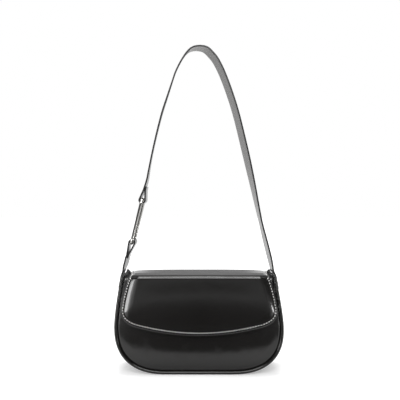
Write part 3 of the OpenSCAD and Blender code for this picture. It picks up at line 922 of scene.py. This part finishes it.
def build_rear():
    """The strip as a grid, its edges rolled and its back corners sunk as the top's are."""
    columns = 61
    u = np.sin(np.linspace(-1, 1, columns) * math.pi / 2)
    rows = []
    for y, z in rear_strip_profile():
        half = rear_half_width(z) if y > REAR_CREASE_Y - 0.002 else top_half_at(y)
        x = u * half
        on_top = y < REAR_CREASE_Y - 0.002
        drop = 0 if on_top else rolled(half - np.abs(x), 0.0011, 0.0012)
        level = top_level(x, y) - REAR_TOP_Z if y < REAR_CREASE_Y + 0.0004 else 0
        fade = float(smooth((z - CREASE_Z + 0.0034) / 0.003))
        rows.append(np.stack([x, np.full(columns, y) - drop, np.full(columns, z) + level * fade], axis=1))
    return np.array(rows)


flap_rear = skin("flap_rear", lean(build_rear(), FLAP_LEAN), 0.0014, (0, -1, -1))
print("flap rear", len(flap_rear.data.polygons), "faces")

# %% [markdown]
# ## The strap and its ring
# The strap is two layers of leather with painted edges. The short end on the left and the long strap each
# fold round one end of the metal ring and are sewn back on themselves. The long strap stands up in a tall
# arch that turns a little at its crest, and both ends run down over the gusset, where they are stitched.

# %% Strap path
STRAP_W = 0.026
STRAP_T = 0.0024
FLEX = np.array([0.1080, strap_flex[2]])
CREST = np.array([-0.0024, strap_flex[2] + 0.3174])
WIRE_R = 0.00215
LOOP_R = WIRE_R + 0.0009 + STRAP_T / 2
FOLD_OFF = STRAP_T / 2 + 0.0001
SEWN_END = 0.0055
CREST_TURN = 14
FOOT_TURN = 6
RIGHT_LEG = (
    (0.055, 0.043), (0.165, 0.198), (0.272, 0.373), (0.367, 0.52), (0.481, 0.683),
    (0.570, 0.784), (0.671, 0.878), (0.757, 0.9386), (0.826, 0.9695), (0.900, 0.9930),
)
LEFT_LEG = (
    (-0.0130, 0.4709, 13.4), (-0.0208, 0.4640, 12.0), (-0.0289, 0.4512, 10.0), (-0.0357, 0.4371, 8.3),
    (-0.0406, 0.4226, 7.3), (-0.0477, 0.4008, 6.0), (-0.0548, 0.379, 5.2), (-0.0606, 0.3573, 5.0),
    (-0.0658, 0.3355, 5.0), (-0.0705, 0.3137, 4.8), (-0.0745, 0.292, 2.6), (-0.0771, 0.2774, 0.8),
)
RING_LENGTH = 0.0658
RING_WIDTH = 0.033


def from_vertical(degrees):
    """The direction that leans this far to the right of straight up."""
    a = math.radians(degrees)
    return np.array([math.sin(a), math.cos(a)])


def spline(points, steps=10):
    """A smooth line through every point."""
    p = np.asarray(points, float)
    out = []
    for i in range(len(p) - 1):
        a, b, c, d = p[max(i - 1, 0)], p[i], p[i + 1], p[min(i + 2, len(p) - 1)]
        for k in range(steps):
            t = k / steps
            bend = (2 * a - 5 * b + 4 * c - d) * t * t + (3 * b - a - 3 * c + d) * t ** 3
            out.append(0.5 * (2 * b + (c - a) * t + bend))
    return np.array(out + [p[-1]])


def loop_about(centre, neck, steps=40):
    """The strap's line round one end of the ring: from its neck, round the wire and back to the neck."""
    e = (neck - centre) / np.linalg.norm(neck - centre)
    left = np.array([e[1], -e[0]]) if e[1] > 0 else np.array([-e[1], e[0]])
    reach = np.linalg.norm(neck - centre)
    touch = math.atan(FOLD_OFF / reach) + math.acos(LOOP_R / math.hypot(reach, FOLD_OFF))
    turn = np.linspace(touch, 2 * math.pi - touch, steps)
    arc = centre + LOOP_R * (np.cos(turn)[:, None] * e + np.sin(turn)[:, None] * left)
    line = np.concatenate([[neck + FOLD_OFF * left], arc, [neck - FOLD_OFF * left]])
    return line if line[0][0] < line[-1][0] else line[::-1]


left_flex = FLEX * (-1, 1)
ring_way = from_vertical(13.6)
lower_neck = left_flex + 0.014 * from_vertical(15)
lower_centre = lower_neck + 0.018 * from_vertical(19)
ring_foot = lower_centre - 0.001 * ring_way
ring_head = ring_foot + RING_LENGTH * ring_way
upper_centre = ring_head - 0.001 * ring_way
upper_neck = upper_centre + 0.015 * from_vertical(13)


def gusset_side(z):
    """Half the width of the upright body at a level above its widest part."""
    return BELLY_HALF - (BELLY_HALF - TOP_HALF) * ((z - BELLY_Z) / (PANEL_TOP - BELLY_Z)) ** SIDE_POWER


def seat(z, side):
    """Where the middle of the strap lies on the leaning gusset: side is 1 on the right and -1 on the left."""
    shift = LEAN * float(smooth(z / PANEL_TOP))
    return (side * (gusset_side(z) + STRAP_T / 2 + 0.0002) - shift, z)


TAB_END = GUSSET_TOP - 0.026
seats = (TAB_END, TAB_END + 0.007, TAB_END + 0.014, TAB_END + 0.0215)

right_tab = [seat(z, 1) for z in seats] + [(0.1074, FLEX[1] - 0.0108), (0.1056, FLEX[1] - 0.0023)]
upper_loop = loop_about(upper_centre, upper_neck)
legs = (
    right_tab
    + [FLEX + (CREST - FLEX) * s for s in RIGHT_LEG]
    + [CREST]
    + [(x, z) for x, z, _ in LEFT_LEG]
    + [upper_loop[0]]
)
arch = resample(spline(legs), 420)
arch_end = upper_loop[-1] + SEWN_END * (upper_neck - upper_centre) / np.linalg.norm(upper_neck - upper_centre)
long_line = np.concatenate([arch, upper_loop[1:], [arch_end]])
long_z = long_line[:, 1]
rising = np.arange(len(long_line)) <= np.argmax(long_z)
TURN_RISE = 0.45 * 0.3163
FOOT_TURN_TOP = 0.222
right_turn = CREST_TURN * smooth((long_z - FLEX[1] - STRAP_W) / TURN_RISE)
foot_part = smooth((long_z - GUSSET_TOP - 0.001) / 0.014) * smooth((FOOT_TURN_TOP - long_z) / 0.040)
right_turn += FOOT_TURN * foot_part
known = [(CREST[1], CREST_TURN)] + [(z, turn) for _, z, turn in LEFT_LEG] + [(upper_neck[1] + SEWN_END, 0)]
left_turn = np.interp(long_z, *np.array(known)[::-1].T)
long_turn = np.where(rising, right_turn, left_turn)
long_turn = np.convolve(np.pad(long_turn, 8, mode="edge"), np.ones(17) / 17, mode="valid")
long_turn[len(arch):] = 0
print("long strap", round(distances(long_line)[-1], 3), "m")

lower_loop = loop_about(lower_centre, lower_neck)[::-1]
short_bend = [(-0.1068, FLEX[1] + 0.0057), (-0.1091, FLEX[1] - 0.0028), (-0.1112, FLEX[1] - 0.0103)]
short_tab = [seat(z, -1) for z in seats[::-1]]
down = resample(spline([lower_loop[-1]] + short_bend + short_tab), 60)
short_start = lower_loop[0] - SEWN_END * from_vertical(15)
short_line = np.concatenate([[short_start], lower_loop[:-1], down])
print("short strap", round(distances(short_line)[-1], 3), "m")

# %% [markdown]
# The strap's section is swept along its line and turned as it goes. Its outer face is the gloss leather,
# its inner face the lighter side of the hide, whose light grey is partly a painted sheen, and its edges are
# painted. The sewn ends are half round.

# %% Strap skin
def strap_section(width, thickness, corner=0.0007, dome=0.00012, face_points=9):
    """A flat section with rounded edges: across, outward, and 0 for outer face, 1 edge, 2 inner face."""
    half, high = width / 2, thickness / 2
    flat = np.linspace(-(half - corner), half - corner, face_points)

    def rounding(side, level, degrees):
        return [
            (side * (half - corner) + corner * math.cos(a), level + corner * math.sin(a), 1)
            for a in np.radians(degrees)
        ]

    section = [(w, high - dome * (w / half) ** 2, 0) for w in flat]
    section += rounding(1, high - corner - dome, (67.5, 45, 22.5))
    section += rounding(1, corner - high, (-22.5, -45, -67.5))
    section += [(w, -high, 2) for w in flat[::-1]]
    section += rounding(-1, corner - high, (-112.5, -135, -157.5))
    section += rounding(-1, high - corner - dome, (157.5, 135, 112.5))
    return section


def path_vectors(line, turn):
    """The directions across the strap and outward, at each point of its line."""
    along = np.gradient(line, axis=0)
    along /= np.linalg.norm(along, axis=1)[:, None]
    along = np.stack([along[:, 0], np.zeros(len(line)), along[:, 1]], axis=1)
    angle = np.radians(turn)
    across = np.stack([-np.sin(angle), np.cos(angle), np.zeros(len(line))], axis=1)
    out = np.cross(across, along)
    return across, out / np.linalg.norm(out, axis=1)[:, None]


def strap_piece(name, line, turn, round_start, round_stop):
    """Sweeps the strap. The chosen ends are cut to a half round, as the sewn-down tab is."""
    across, out = path_vectors(line, turn)
    steps = distances(line)
    end_distance = np.minimum(steps if round_start else 1.0, steps[-1] - steps if round_stop else 1.0)
    corner = 0.009
    t = np.clip(end_distance / corner, 0, 1)
    shrink = corner * (1 - np.sqrt(np.clip(1 - (1 - t) ** 2, 0, 1)))
    centre = np.stack([line[:, 0], np.zeros(len(line)), line[:, 1]], axis=1)
    points, kinds = [], []
    for k in range(len(line)):
        section = strap_section(STRAP_W - 2 * shrink[k], STRAP_T)
        kinds = [s[2] for s in section]
        points += [centre[k] + w * across[k] + h * out[k] for w, h, _ in section]
    per = len(kinds)
    faces = grid_faces(len(line), per, round_columns=True)
    faces += [tuple(range(per)), tuple((len(line) - 1) * per + k for k in range(per))]
    mesh = mesh_from(name, points, faces)
    for material in (BODY_LEATHER, EDGE_PAINT, STRAP_LINING):
        mesh.materials.append(material)
    for face in mesh.polygons:
        found = {kinds[v % per] for v in face.vertices}
        face.material_index = found.pop() if len(face.vertices) == 4 and len(found) == 1 else 1
    return add_object(name, mesh)


def dense_ends(line, turn, length=0.010, steps=12):
    """Adds closely spaced points near both ends, so that the rounded cut is smooth."""
    at = distances(line)
    near = length * (1 - np.cos(np.linspace(0, math.pi / 2, steps)))
    extra = np.unique(np.round(np.r_[at, near, at[-1] - near], 7))
    extra = extra[np.r_[True, np.diff(extra) > 2e-5]]
    return values_at(extra, at, line), np.interp(extra, at, turn)


long_line, long_turn = dense_ends(long_line, long_turn)
falling = np.arange(len(short_line)) > len(short_line) - len(down)
short_z = short_line[:, 1]
above_gusset = smooth((short_z - GUSSET_TOP - 0.001) / 0.010)
below_neck = smooth((lower_neck[1] - short_z) / 0.006)
short_turn = -FOOT_TURN * above_gusset * falling * below_neck
short_line, short_turn = dense_ends(short_line, short_turn)
long_strap = strap_piece("long_strap", long_line, long_turn, True, False)
short_strap = strap_piece("short_strap", short_line, short_turn, False, True)
for piece in (long_strap, short_strap):
    print(piece.name, len(piece.data.polygons), "faces")

# %% [markdown]
# The ring is one bent wire: a long rectangle with rounded corners, leaning with the strap.

# %% Ring
RING_CORNER = 0.007


def ring_path(count=25):
    """The wire's middle line as a flat loop."""
    x_straight, z_straight = RING_WIDTH / 2 - RING_CORNER, RING_LENGTH / 2 - RING_CORNER
    points = []
    for cx, cz, start in ((1, 1, 0), (-1, 1, 90), (-1, -1, 180), (1, -1, 270)):
        for a in np.radians(start + np.linspace(0, 90, count)):
            x = cx * x_straight + RING_CORNER * math.cos(a)
            points.append((x, cz * z_straight + RING_CORNER * math.sin(a)))
    return np.array(points)


flat_ring = ring_path()
ring_middle = (ring_foot + ring_head) / 2
up_ring = np.array([ring_way[0], 0, ring_way[1]])
side_ring = np.array([0.0, 1.0, 0.0])
ring_centre = np.array([ring_middle[0], 0, ring_middle[1]])
ring_line = ring_centre + flat_ring[:, :1] * side_ring + flat_ring[:, 1:] * up_ring
ring_along = np.roll(ring_line, -1, axis=0) - np.roll(ring_line, 1, axis=0)
ring_along /= np.linalg.norm(ring_along, axis=1)[:, None]
ring_normal = np.tile(np.cross(side_ring, up_ring), (len(ring_line), 1))
ring = tube("metal_ring", ring_line, ring_normal, np.cross(ring_along, ring_normal), WIRE_R, 28, closed=True)
print("ring middle", [round(v, 4) for v in ring_middle])

# %% [markdown]
# ## Stitches
# One geometry tree sews every seam in the scene: it lays small rounded threads along a curve at an even
# pitch, each turned to follow the seam, and gives them the white thread.

# %% Stitch tree
STITCH_PITCH = 0.0039
STITCH_LENGTH = 0.0021
STITCH_R = 0.00080


def stitch_tree():
    """Takes seams as wire and gives back a row of threads on each."""
    tree = bpy.data.node_groups.new("row_of_stitches", "GeometryNodeTree")
    tree.interface.new_socket("Geometry", in_out="INPUT", socket_type="NodeSocketGeometry")
    for label, kind, value in (
        ("Pitch", "NodeSocketFloat", STITCH_PITCH),
        ("Length", "NodeSocketFloat", STITCH_LENGTH),
        ("Radius", "NodeSocketFloat", STITCH_R),
        ("Seed", "NodeSocketInt", 3),
    ):
        tree.interface.new_socket(label, in_out="INPUT", socket_type=kind).default_value = value
    tree.interface.new_socket("Thread", in_out="INPUT", socket_type="NodeSocketMaterial")
    tree.interface.new_socket("Geometry", in_out="OUTPUT", socket_type="NodeSocketGeometry")
    nodes, links = tree.nodes, tree.links
    inlet, outlet = nodes.new("NodeGroupInput"), nodes.new("NodeGroupOutput")

    along = nodes.new("GeometryNodeMeshToCurve")
    links.new(inlet.outputs["Geometry"], along.inputs["Mesh"])
    spaced = nodes.new("GeometryNodeCurveToPoints")
    spaced.mode = "LENGTH"
    links.new(along.outputs["Curve"], spaced.inputs["Curve"])
    links.new(inlet.outputs["Pitch"], spaced.inputs["Length"])

    ball = nodes.new("GeometryNodeMeshUVSphere")
    ball.inputs["Segments"].default_value = 8
    ball.inputs["Rings"].default_value = 6
    ball.inputs["Radius"].default_value = 1.0
    half = nodes.new("ShaderNodeMath")
    half.operation = "MULTIPLY"
    half.inputs[1].default_value = 0.5
    links.new(inlet.outputs["Length"], half.inputs[0])
    size = nodes.new("ShaderNodeCombineXYZ")
    links.new(inlet.outputs["Radius"], size.inputs["X"])
    links.new(inlet.outputs["Radius"], size.inputs["Y"])
    links.new(half.outputs["Value"], size.inputs["Z"])
    thread = nodes.new("GeometryNodeTransform")
    links.new(ball.outputs["Mesh"], thread.inputs["Geometry"])
    links.new(size.outputs["Vector"], thread.inputs["Scale"])

    turn = nodes.new("FunctionNodeAlignRotationToVector")
    turn.axis = "Z"
    links.new(spaced.outputs["Tangent"], turn.inputs["Vector"])
    chance = nodes.new("FunctionNodeRandomValue")
    chance.data_type = "FLOAT"
    chance.inputs[2].default_value = 0.9
    chance.inputs[3].default_value = 1.08
    links.new(inlet.outputs["Seed"], chance.inputs["Seed"])
    place = nodes.new("GeometryNodeInstanceOnPoints")
    links.new(spaced.outputs["Points"], place.inputs["Points"])
    links.new(thread.outputs["Geometry"], place.inputs["Instance"])
    links.new(turn.outputs["Rotation"], place.inputs["Rotation"])
    links.new(chance.outputs[1], place.inputs["Scale"])
    real = nodes.new("GeometryNodeRealizeInstances")
    links.new(place.outputs["Instances"], real.inputs["Geometry"])
    shade = nodes.new("GeometryNodeSetShadeSmooth")
    links.new(real.outputs["Geometry"], shade.inputs["Geometry"])
    finish = nodes.new("GeometryNodeSetMaterial")
    links.new(shade.outputs["Geometry"], finish.inputs["Geometry"])
    links.new(inlet.outputs["Thread"], finish.inputs["Material"])
    links.new(finish.outputs["Geometry"], outlet.inputs["Geometry"])
    return tree


STITCHES = stitch_tree()
FACES_PER_STITCH = 48
SOCKETS = {s.name: s.identifier for s in STITCHES.interface.items_tree if s.in_out == "INPUT"}


def sew(name, seams, seed=3, pitch=STITCH_PITCH, length=STITCH_LENGTH, radius=STITCH_R):
    """Sews along each seam, a list of points already on the surface, and returns one mesh."""
    points, edges = [], []
    for seam in seams:
        first = len(points)
        points += [tuple(p) for p in seam]
        edges += [(first + k, first + k + 1) for k in range(len(seam) - 1)]
    mesh = bpy.data.meshes.new(name)
    mesh.from_pydata(points, edges, [])
    piece = add_object(name, mesh)
    modifier = piece.modifiers.new("stitches", "NODES")
    modifier.node_group = STITCHES
    given = {"Pitch": pitch, "Length": length, "Radius": radius, "Seed": seed, "Thread": WHITE_THREAD}
    for label, value in given.items():
        modifier[SOCKETS[label]] = value
    bpy.context.view_layer.update()
    bake_modifiers(piece)
    print(name, len(piece.data.polygons) // FACES_PER_STITCH, "stitches")
    return piece


# %% [markdown]
# The flap's seam follows its edge at a small distance, goes over both ends of the crease and runs back
# along the sides of the top. It is sewn in two parts, because the flap bends at two creases.

# %% Stitches of the flap
TOP_STITCH_IN = 0.0024
seam_xz = flap_line + STITCH_IN[:, None] * flap_inward
seam_front = np.stack([seam_xz[:, 0], np.full(len(seam_xz), -(EDGE_Y + 0.0003)), seam_xz[:, 1]], axis=1)
seam_sag = crease_sag(np.array(FLAP_HALF - 0.0004 - TOP_STITCH_IN))
over = []
for a in np.radians(np.linspace(0, 90, 9)):
    y = -(EDGE_Y + 0.0001) + CREASE_R * (1 - math.cos(a))
    over.append((y, CREASE_Z - 0.0022 - CREASE_R + CREASE_R * math.sin(a)))
for y in np.linspace(over[-1][0], REAR_TURN_Y, 30)[1:]:
    over.append((y, CREASE_Z - 0.0014 - 0.0007 * max(0, (-0.012 - y) / 0.023) ** 2))


def over_side(side):
    """The seam over the crease and back along the top, a little inside its edge."""
    found = []
    for y, z in over:
        x = top_half_at(y) - TOP_STITCH_IN
        level = float(top_level(x, y)) - float(top_level(x, -0.039)) if y > -0.03 else 0
        found.append((side * x, y, z - seam_sag + level))
    return found


left_top, right_top = over_side(-1), over_side(1)
split = next(k for k, p in enumerate(left_top) if p[1] > SPLIT_Y)
front_seam = left_top[split - 1::-1] + [tuple(p) for p in seam_front[1:-1]] + right_top[:split]
flap_stitches = sew("flap_stitches", [lean(resample(front_seam, 900), FLAP_LEAN)])
rear_seams = [lean(seam[split:], FLAP_LEAN) for seam in (left_top, right_top)]
top_stitches = sew("flap_top_stitches", rear_seams)

# %% [markdown]
# Finer stitches hold the turned edges of the panels, the tabs and the ends of the strap's loops. The part of
# the flap that lies on the back is sewn down both sides and along its lower edge.

# %% Stitches of the body and strap
FINE = {"pitch": 0.0034, "length": 0.0027, "radius": 0.00042}
STRAP_STITCH_IN = 0.0026
BOX_CORNER = 0.0055
BOX_LENGTH = 0.0235


def face_seam(y):
    """Along the top of a panel, just under its turned edge."""
    half = TOP_HALF - 0.0075
    return lean([(x, y, PANEL_TOP - 0.0025) for x in np.linspace(-half, half, 120)])


def on_strap(line, turn, places, across_at):
    """Points on the strap's outer face, by their lengths along it and distances from its middle."""
    across, out = path_vectors(line, turn)
    at = distances(line)
    middle = np.stack([line[:, 0], np.zeros(len(line)), line[:, 1]], axis=1)
    side = np.asarray(across_at)[:, None] * values_at(places, at, across)
    return values_at(places, at, middle) + side + STRAP_T / 2 * values_at(places, at, out)


def tab_seam(line, turn, at_stop):
    """A box of stitches on a tab: up both sides, across its top and round its lower end."""
    side, start = STRAP_W / 2 - STRAP_STITCH_IN, STRAP_STITCH_IN
    half = [(start, 0)]
    for a in np.radians(np.linspace(0, 90, 6)):
        half.append((start + BOX_CORNER * (1 - math.cos(a)), side - BOX_CORNER + BOX_CORNER * math.sin(a)))
    half.append((BOX_LENGTH, side))
    box = np.array(half + [(p, -w) for p, w in half[::-1]])
    places = distances(line)[-1] - box[:, 0] if at_stop else box[:, 0]
    points = on_strap(line, turn, places, box[:, 1])
    return resample(np.concatenate([points, points[:1]]), 160)


def cross_seam(line, turn, place):
    """Straight across the strap at a length along it."""
    reach = STRAP_W / 2 - STRAP_STITCH_IN
    return on_strap(line, turn, [place] * 12, np.linspace(-reach, reach, 12))


body_stitches = sew("body_stitches", [
    face_seam(-0.0274),
    face_seam(0.0274),
    tab_seam(long_line, long_turn, False),
    tab_seam(short_line, short_turn, True),
], seed=5, **FINE)
arch_length = distances(arch)[-1]
strap_stitches = sew("strap_stitches", [
    cross_seam(long_line, long_turn, arch_length - 0.0008),
    cross_seam(long_line, long_turn, arch_length - 0.0068),
    cross_seam(short_line, short_turn, SEWN_END + 0.0600),
], seed=7, **FINE)
BACK_STITCH_HALF = top_half_at(REAR_CREASE_Y) - 0.0032
BACK_STITCH_Y = REAR_CREASE_Y + 0.0018
BACK_STITCH_LOW = REAR_END_Z + 0.013
BACK_CORNER = 0.0098
left_side = [(-BACK_STITCH_HALF, BACK_STITCH_Y, CREASE_Z - 0.008)]
for a in np.radians(np.linspace(0, 90, 8)):
    x = -BACK_STITCH_HALF + BACK_CORNER * (1 - math.cos(a))
    left_side.append((x, BACK_STITCH_Y, BACK_STITCH_LOW - BACK_CORNER * math.sin(a)))
right_side = [(-x, y, z) for x, y, z in left_side[::-1]]
back_stitches = sew("back_stitches", [lean(resample(left_side + right_side, 500), FLAP_LEAN)], seed=9)

# %% [markdown]
# ## Putting the pieces on their bodies
# The body's pieces and the back stitches ride on the bag, the loop stitches on the strap and the ring on
# its own body. The flap's two parts, the straps, the flap's stitches and the stitches of the panels and tabs
# stay where they are built.

# %% Materials and bodies
def dress(piece, material, slot, *nodes):
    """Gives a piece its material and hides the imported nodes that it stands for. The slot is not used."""
    if material is not None:
        piece.data.materials.clear()
        piece.data.materials.append(material)
    if nodes:
        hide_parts(*nodes)


BODY_PIECES = (
    (front_panel, CREASED_LEATHER, "gloss_leather", "front_panel"),
    (back_panel, CREASED_LEATHER, "gloss_leather", "back_panel"),
    (front_piping, CREASED_LEATHER, "gloss_leather", "front_piping"),
    (back_piping, CREASED_LEATHER, "gloss_leather", "back_piping"),
    (gusset, CREASED_LEATHER, "gloss_leather", "gusset"),
    (gusset_cloth, LINING_CLOTH, "lining_cloth", "gusset_lining"),
    (front_lining, LINING_CLOTH, "lining_cloth", "front_lining"),
    (back_lining, LINING_CLOTH, "lining_cloth", "back_lining"),
)
for piece, material, slot, node in BODY_PIECES:
    dress(piece, material, slot, node)
    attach(piece, "bag")

dress(flap_rear, BODY_LEATHER, "gloss_leather", "flap_top_leather")
FLAP_FRONT_NODES = ("flap_drop_leather", "flap_padding", "flap_drop_board", "flap_top_board")
dress(flap_front, BODY_LEATHER, "gloss_leather", *FLAP_FRONT_NODES)
for piece in (flap_rear, top_stitches):
    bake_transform(piece)
for piece in (flap_front, flap_stitches):
    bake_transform(piece)
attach(back_stitches, "bag")

dress(long_strap, None, "gloss_leather", "long_strap_leather", "long_strap_lining", "right_strap_tab")
dress(short_strap, None, "gloss_leather", "short_strap_leather", "short_strap_lining", "left_strap_tab")
for piece in (long_strap, short_strap, body_stitches):
    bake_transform(piece)
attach(strap_stitches, "strap")
dress(ring, POLISHED_METAL, "polished_metal", "oval_ring")
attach(ring, "ring")

INNER = (
    (BOARD, "fibre_board", ("front_board", "back_board", "base_board")),
    (POLISHED_METAL, "polished_metal", ("snap_stud", "snap_stud_washer", "snap_cap", "snap_cap_washer")),
    (MAGNET, "magnet", ("snap_magnet",)),
)
for material, slot, inner_nodes in INNER:
    for node in inner_nodes:
        dress(frame["nodes"][node], material, slot)

# %% [markdown]
# ## The studio
# A pale floor in a white room. The camera sees both as white, apart from the shadow. For the leather's
# reflections the floor's colour is a painted reflection: painted bright near the bag, where the lower front
# looks down at it, painted dark further out, and glowing behind the bag.

# %% Floor and background
FLOOR_Z = -0.0002
# The painted bright patch of floor ends at this edge, bending back towards the sides.
FLOOR_EDGE_Y = -0.105
EDGE_BLUR = 0.006
EDGE_BEND = 2.2


def floor_material():
    """White for the camera, apart from the shadow. For glossy rays its colour is a painted reflection: bright
    near the bag, dark in front, with a painted glow behind.
    """
    material, shader, nodes, links = principled("studio_floor", Roughness=0.6, Specular_IOR_Level=0.1)
    at = nodes.new("ShaderNodeTexCoord").outputs["Object"]
    parts = nodes.new("ShaderNodeSeparateXYZ")
    links.new(at, parts.inputs["Vector"])
    wide = maths(nodes, links, "MULTIPLY", parts.outputs["X"], parts.outputs["X"])
    edge = maths(nodes, links, "ADD", parts.outputs["Y"], maths(nodes, links, "MULTIPLY", wide, EDGE_BEND))
    # Painted reflection: for glossy rays the floor is painted bright inside this edge near the bag, dark in
    # front of it and lighter again far out.
    near = remap(nodes, links, edge, FLOOR_EDGE_Y - EDGE_BLUR, FLOOR_EDGE_Y + EDGE_BLUR)
    aside = maths(nodes, links, "ABSOLUTE", parts.outputs["X"])
    out_front = maths(nodes, links, "SUBTRACT", parts.outputs["Y"], aside)
    distant = remap(nodes, links, out_front, -0.95, -0.20)
    front = mix_colour(nodes, links, distant, grey(0.30), grey(0.02))
    tone = mix_colour(nodes, links, near, front, grey(0.62))
    path = nodes.new("ShaderNodeLightPath")
    to_camera = path.outputs["Is Camera Ray"]
    seen = mix_colour(nodes, links, to_camera, tone, grey(0.8))
    fine = remap(nodes, links, noise(nodes, links, at, 3, 2), 0.3, 0.7, 0.97, 1.0)
    even = nodes.new("ShaderNodeMix")
    even.data_type = "RGBA"
    even.blend_type = "MULTIPLY"
    even.inputs["Factor"].default_value = 1
    links.new(seen, even.inputs["A"])
    links.new(fine, even.inputs["B"])
    links.new(even.outputs["Result"], shader.inputs["Base Color"])
    shader.inputs["Emission Color"].default_value = (1, 1, 1, 1)
    # A painted glow behind the bag that only glossy rays see.
    rear = maths(nodes, links, "MULTIPLY", remap(nodes, links, parts.outputs["Y"], 0.25, 0.9), 0.5)
    painted_glossy_glow = maths(nodes, links, "MULTIPLY", path.outputs["Is Glossy Ray"], rear)
    reach = nodes.new("ShaderNodeVectorMath")
    reach.operation = "LENGTH"
    links.new(at, reach.inputs[0])
    away = remap(nodes, links, reach.outputs["Value"], 0.25, 0.8, 0.39, 1.0)
    glow = maths(nodes, links, "ADD", maths(nodes, links, "MULTIPLY", to_camera, away), painted_glossy_glow)
    links.new(glow, shader.inputs["Emission Strength"])
    return material


def studio_floor(half=4, front=-2.5, back=6):
    mesh = bpy.data.meshes.new("floor")
    corners = [(-half, front, FLOOR_Z), (half, front, FLOOR_Z), (half, back, FLOOR_Z), (-half, back, FLOOR_Z)]
    mesh.from_pydata(corners, [], [(0, 1, 2, 3)])
    mesh.materials.append(floor_material())
    add_object("floor", mesh)


def studio_world():
    """White for the camera. The leather mirrors a room that is bright above and behind, and dark in front."""
    world = bpy.data.worlds.new("studio")
    bpy.context.scene.world = world
    world.use_nodes = True
    nodes, links = world.node_tree.nodes, world.node_tree.links
    nodes.clear()
    out = nodes.new("ShaderNodeOutputWorld")
    background = nodes.new("ShaderNodeBackground")
    background.inputs["Color"].default_value = (1, 1, 1, 1)
    path = nodes.new("ShaderNodeLightPath")
    at = nodes.new("ShaderNodeTexCoord")
    parts = nodes.new("ShaderNodeSeparateXYZ")
    links.new(at.outputs["Generated"], parts.inputs["Vector"])
    above = remap(nodes, links, parts.outputs["Z"], 0.15, 0.8, 0.30, 1.0)
    low = remap(nodes, links, parts.outputs["Z"], 0.06, 0.13, 0.46, 0.0)
    above = maths(nodes, links, "ADD", above, low)
    behind = remap(nodes, links, parts.outputs["Y"], -0.2, 0.4, 0.12, 1.0)
    room = maths(nodes, links, "MULTIPLY", above, behind)
    seen = maths(nodes, links, "MAXIMUM", room, path.outputs["Is Camera Ray"])
    links.new(seen, background.inputs["Strength"])
    links.new(background.outputs["Background"], out.inputs["Surface"])


studio_floor()
studio_world()
print("floor at", FLOOR_Z, "bright up to", FLOOR_EDGE_Y)

# %% [markdown]
# The lamps. Four low cards on the left draw the bright line on that shoulder of the flap and let it fade
# towards the middle. A narrow card on the right draws the short line there. Two boxes above light the top
# and the front.

# %% Lamps
def soft_box(name, place, target, width, height, radiance):
    """A rectangle of even light. Its power follows from its size and how bright it looks."""
    data = bpy.data.lights.new(name, "AREA")
    data.shape = "RECTANGLE"
    data.size, data.size_y = width, height
    data.energy = radiance * math.pi * width * height
    lamp = bpy.data.objects.new(name, data)
    bpy.context.collection.objects.link(lamp)
    lamp.location = place
    aim = Vector(target) - Vector(place)
    lamp.rotation_euler = aim.to_track_quat("-Z", "Y").to_euler()
    lamp.visible_camera = False


LEFT_SHOULDER = (-0.105, -0.042, 0.09)
CARD_HEIGHT = 0.155
CARD_Z = 0.078
LEFT_CARDS = (
    ("left_card", -0.424, -0.318, 0.10, 9.5),
    ("left_reflector", -0.362, -0.375, 0.06, 2.8),
    ("left_fill", -0.300, -0.414, 0.07, 1.4),
    ("left_haze", -0.228, -0.444, 0.08, 0.7),
)
for name, x, y, width, radiance in LEFT_CARDS:
    soft_box(name, (x, y, CARD_Z), LEFT_SHOULDER, width, CARD_HEIGHT, radiance)
soft_box("right_card", (0.33, -0.233, 0.035), (0.1, -0.04, 0.06), 0.016, 0.06, 16)
soft_box("top_box", (0, 0.0, 1.2), (0, 0, 0.1), 0.6, 0.45, 12)
soft_box("front_top_box", (0, -0.85, 0.85), (0, -0.04, 0.14), 0.9, 0.6, 5.0)

scene = bpy.context.scene
scene.view_settings.view_transform = "Standard"
scene.view_settings.look = "None"
print("lamps", len(bpy.data.lights))
